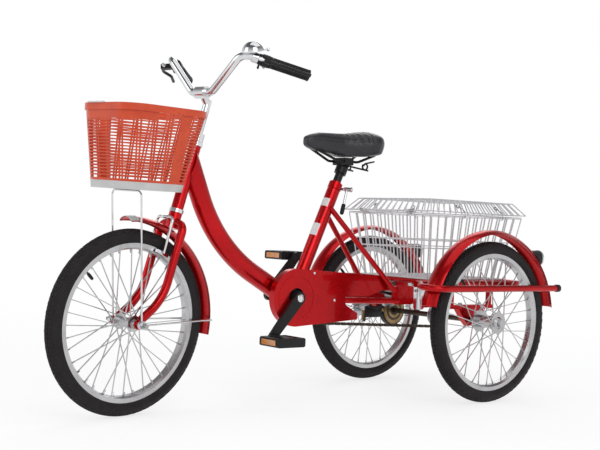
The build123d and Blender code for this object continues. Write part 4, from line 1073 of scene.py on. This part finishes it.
# %% Bell and lever details
ADJUSTER_STEPS = [(3.4, 4), (5.0, 0.6), (5.0, 9), (4.0, 0.8), (2.8, 5)]
COLLAR_STEPS = [(15.0, 1.2), (15.0, 7.6), (13.2, 1.2)]
THUMB_STEPS = [(2.0, 22), (2.0, 14), (4.6, 1.2), (5.4, 3.2), (4.2, 2.6), (1.6, 1)]
BELL_FOOT = Vector((888.4, 169.8, 988.5))
THUMB_WAY = Vector((-0.72, 0.62, 0.12)).normalized()

for name, side in SIDES.items():
    way, _, down = bar_frame(side)
    adjuster = turned(f"{name}_cable_adjuster", 3.4, ADJUSTER_STEPS, segments=24)
    inset_faces(adjuster, every_second(24, 5, 13), 0.1, -0.5)
    stand(smoothed(adjuster), on_bar(side, 134.4, ahead=34), fork_way(*-way))
    dressed(adjuster, "chrome", "steering")
    collar = smoothed(turned(f"{name}_lever_collar", 13.2, COLLAR_STEPS, segments=32))
    dressed(stand(collar, on_bar(side, 136.6), fork_way(*-way)), "black_metal", "steering")
    eye = coil(f"{name}_lever_eye", 4.6, 2.0, 1.0, 1.6, steps=24)
    dressed(stand(eye, on_bar(side, 141, drop=20.5), fork_way(*way)), "black_metal", "steering")
    screw = hexagon(f"{name}_perch_screw", 3.2, 3.0)
    dressed(stand(screw, on_bar(side, 126.5, drop=17), fork_way(*down)), "steel", "steering")

thumb = smoothed(turned("bell_thumb_lever", 2.4, THUMB_STEPS, segments=16), 50)
dressed(stand(thumb, fork_point(*BELL_FOOT), fork_way(*THUMB_WAY)), "chrome", "steering")
print("bell lever stands at", fork_point(*BELL_FOOT))

# %% [markdown]
# ## Tail lamps
# The lens sits in a bright ring at the end of its black housing.

# %% Lamp rings
RING_STEPS = [(26.4, 0.8), (26.6, 4.4), (25.4, 1.0), (23.4, 0.2)]
LAMP = Vector((-225.5, 270, 447))

for name, side in SIDES.items():
    ring = smoothed(turned(f"{name}_lamp_ring", 25.2, RING_STEPS, segments=40))
    dressed(stand(ring, point(LAMP.x, side * LAMP.y, LAMP.z), (-1, 0, 0)), "chrome", "frame")
print("lamp rings", len(SIDES))

# %% [markdown]
# ## Saddle's spring wires
# On each side a lower wire runs back from the saddle's clamp, makes one loop and turns up beside the rail.
# The loop is what takes the bumps.

# %% Saddle's spring wires
for name, side in SIDES.items():
    lower = wire(f"{name}_spring_wire", [point(384, side * 26, 708.2), point(309, side * 35, 698)], 2.8)
    loop = coil(f"{name}_spring_loop", 9.0, 2.8, 1.1, 5.0, steps=28)
    stand(loop, point(325, side * 35, 709), (0, side, 0))
    tail = wire(f"{name}_spring_tail", [point(329, side * 41, 718.5), point(293, side * 44, 727)], 2.6)
    spring = smoothed(joined(f"{name}_saddle_spring", [lower, loop, tail]), 50)
    dressed(spring, "black_metal", "frame")
print("saddle springs", len(SIDES))

# %% [markdown]
# ## Rim wire, lid hinges and latches
# The rear basket's rim is a double wire, so a second one is laid on the first. Short coils wrap the
# hinge rod beside the basket's loops. Each side of the lid has two wire clasps, with a hook that reaches
# down past the rim but stays clear of it, so that the lid still opens.

# %% Rim wire, lid hinges and latches
RIM_REAR = -243
RIM_FRONT = 183
RIM_HALF = 187
SECOND_RIM_HEIGHT = 575.3
CLASPS = (63.8, -114.8)
HOOK_BENDS = ((-6, 188, 599), (-18, 200.4, 586), (-21, 200.4, 566), (-21, 191.5, 565))

corners = [(RIM_FRONT, RIM_HALF), (RIM_FRONT, -RIM_HALF), (RIM_REAR, -RIM_HALF), (RIM_REAR, RIM_HALF),
           (RIM_FRONT, RIM_HALF)]
rim_wire = wire("basket_second_rim", [point(x, y, SECOND_RIM_HEIGHT) for x, y in corners], 1.6)
dressed(rim_wire, "white_wire", "frame")

for name, side in SIDES.items():
    hinge = coil(f"{name}_hinge_coil", 3.8, 1.3, 5.0, 2.9)
    dressed(stand(hinge, point(193, side * 107, 582), (0, side, 0)), "steel", "lid")
    for index, x in enumerate(CLASPS):
        ring = coil(f"{name}_clasp_ring_{index}", 6.0, 1.4, 1.6, 3.0, steps=24)
        stand(ring, point(x, side * 184.5, 599.5), (0, side * 0.77, 0.64))
        bends = [point(x + ahead, side * out, height) for ahead, out, height in HOOK_BENDS]
        hook = wire(f"{name}_clasp_hook_{index}", bends, 1.4)
        dressed(smoothed(joined(f"{name}_lid_clasp_{index}", [ring, hook]), 50), "steel", "lid")
print("lid clasps", len(SIDES) * len(CLASPS))

# %% [markdown]
# ## Band brake
# The rear drum's face is turned in steps. In front of the drum a black bracket carries the brake's arm,
# and a brown spring pulls the arm back.

# %% Band brake fittings
DRUM_FACE = -145
# The shade step is painted shade: a ring of dark steel between the brass rim and ring, standing for the
# shade on the drum's face.
DRUM_STEPS = {  # slot, radius and height
    "rim": ("brass", 42, 1.4),
    "shade": ("dark_steel", 34, 2.0),
    "ring": ("brass", 26, 2.8),
    "boss": ("dark_steel", 17, 5.0),
}
ARM_BENDS = ((70, 252), (128, 262), (132, 212))

for label, (slot, radius, height) in DRUM_STEPS.items():
    steps = [(radius, height - 0.6), (radius - 0.8, 0.6)]
    disc = smoothed(turned(f"brake_drum_{label}", radius, steps, segments=48))
    dressed(stand(disc, point(0, DRUM_FACE, WHEEL_RADIUS), (0, 1, 0)), slot, "driven_axle")

bracket = smoothed(moved(block("band_brake_bracket", (77.0, 5.0, 38.0), 2.0, segments=3),
                         point(90, DRUM_FACE - 6, 244)))
dressed(bracket, "black_metal", "frame")
arm = wire("band_brake_arm", [point(x, DRUM_FACE - 0.5, z) for x, z in ARM_BENDS], 3.0)
dressed(arm, "black_metal", "frame")
return_spring = coil("band_brake_spring", 4.6, 1.1, 11, 3.3, steps=14)
dressed(stand(return_spring, point(139, DRUM_FACE - 2, 214), (0, 0, 1)), "brass", "frame")
print("drum steps", len(DRUM_STEPS))

# %% [markdown]
# ## Bare bands, basket lip and mudguard tip
# Two plain white bands lie on the front of the seat tube, each a grid bent to the tube's round and given
# a thickness. A white strip lies along the front edge of the front basket's lip, and a pale tip closes the
# front mudguard.

# %% Bands, lip and tip
BAND_RADIUS = 20.25 * MM
BAND_HALF_ANGLE = 0.95
BANDS = {"upper_bare_band": (290.6, 316.9), "lower_bare_band": (194.3, 232.6)}
TIP_MIDDLE = 87.6
TIP_ANGLE = 6.0
TIP_WIDTH = 50
TIP_REACH = 281.4
TIP_CROWN = 13.0
TIP_HALF = 27


def seat_tube_band(name, low, high):
    """A thin patch on the front of the seat tube, between two distances up it."""
    deselect()
    bpy.ops.mesh.primitive_grid_add(x_subdivisions=20, y_subdivisions=4, size=1, location=(0, 0, 0))
    band = bpy.context.object
    band.name = name
    for vertex in band.data.vertices:
        angle = vertex.co.x * 2 * BAND_HALF_ANGLE
        height = low + (vertex.co.y + 0.5) * (high - low)
        vertex.co = Vector((BAND_RADIUS * math.sin(angle), BAND_RADIUS * math.cos(angle), height * MM))
    outward(modified(band, "SOLIDIFY", thickness=0.35 * MM, offset=0.0))
    stand(band, point(*SEAT_TUBE_FOOT), SEAT_TUBE_WAY, (0, -1, 0))
    return dressed(smoothed(band), "white_wire", "frame", bare_white)


def mudguard_tip():
    """A pale crowned tip over the front end of the front mudguard."""
    deselect()
    bpy.ops.mesh.primitive_grid_add(x_subdivisions=6, y_subdivisions=16, size=1, location=(0, 0, 0))
    tip = bpy.context.object
    tip.name = "mudguard_tip"
    for vertex in tip.data.vertices:
        angle = math.radians(TIP_MIDDLE + vertex.co.x * TIP_ANGLE)
        across = vertex.co.y * TIP_WIDTH
        reach = TIP_REACH - TIP_CROWN * (across / TIP_HALF) ** 2
        vertex.co = fork_point(WHEELBASE + reach * math.cos(angle), across,
                               WHEEL_RADIUS + reach * math.sin(angle))
    modified(outward(tip), "SOLIDIFY", thickness=1.4 * MM, offset=0.0)
    return dressed(smoothed(tip), "grey_plastic", "steering")


for name, heights in BANDS.items():
    seat_tube_band(name, *heights)
lip = block("basket_lip_white_strip", (9.0, 66.0, 4.0), 1.6)
stand(lip, fork_point(1243, -23, 816), fork_way(0, 0, 1), fork_way(1, 0, 0))
dressed(smoothed(lip), "grey_plastic", "steering", bare_white)
mudguard_tip()
print("bands", len(BANDS))

# %% [markdown]
# ## Seat clamp's pivot and grip
# The clamp's lever hangs from a bright barrel behind the collar, and ends in a dark rounded grip.

# %% Pivot and lever grip
CLAMP_HEIGHT = 365.5
PIVOT_STEPS = [(6.6, 1.2), (6.6, 20.0), (7.6, 0.8), (7.6, 3.0), (6.0, 1.2)]
PIVOT_WAY = (-11.0, 22.0, -1.5)
HANDLE_STEPS = [(6.2, 2), (6.8, 12), (6.4, 14), (5.0, 4), (2.2, 1.6)]
HANDLE_BACK = 19

ear = SEAT_TUBE_FOOT + SEAT_TUBE_WAY * CLAMP_HEIGHT
pivot = smoothed(turned("clamp_pivot_barrel", 5.4, PIVOT_STEPS))
dressed(stand(pivot, point(ear.x - 25, 15.5, ear.z - 8), PIVOT_WAY), "chrome", "frame")
lever_top = Vector((ear.x - 24, 27, ear.z - 18))
lever_end = Vector((ear.x - 8, 30, ear.z - 72))
lever_way = (lever_end - lever_top).normalized()
handle = smoothed(turned("clamp_lever_grip", 4.6, HANDLE_STEPS, segments=20), 50)
dressed(stand(handle, point(*(lever_end - lever_way * HANDLE_BACK)), lever_way), "black_plastic", "frame")
print("lever grip at", point(*lever_end))
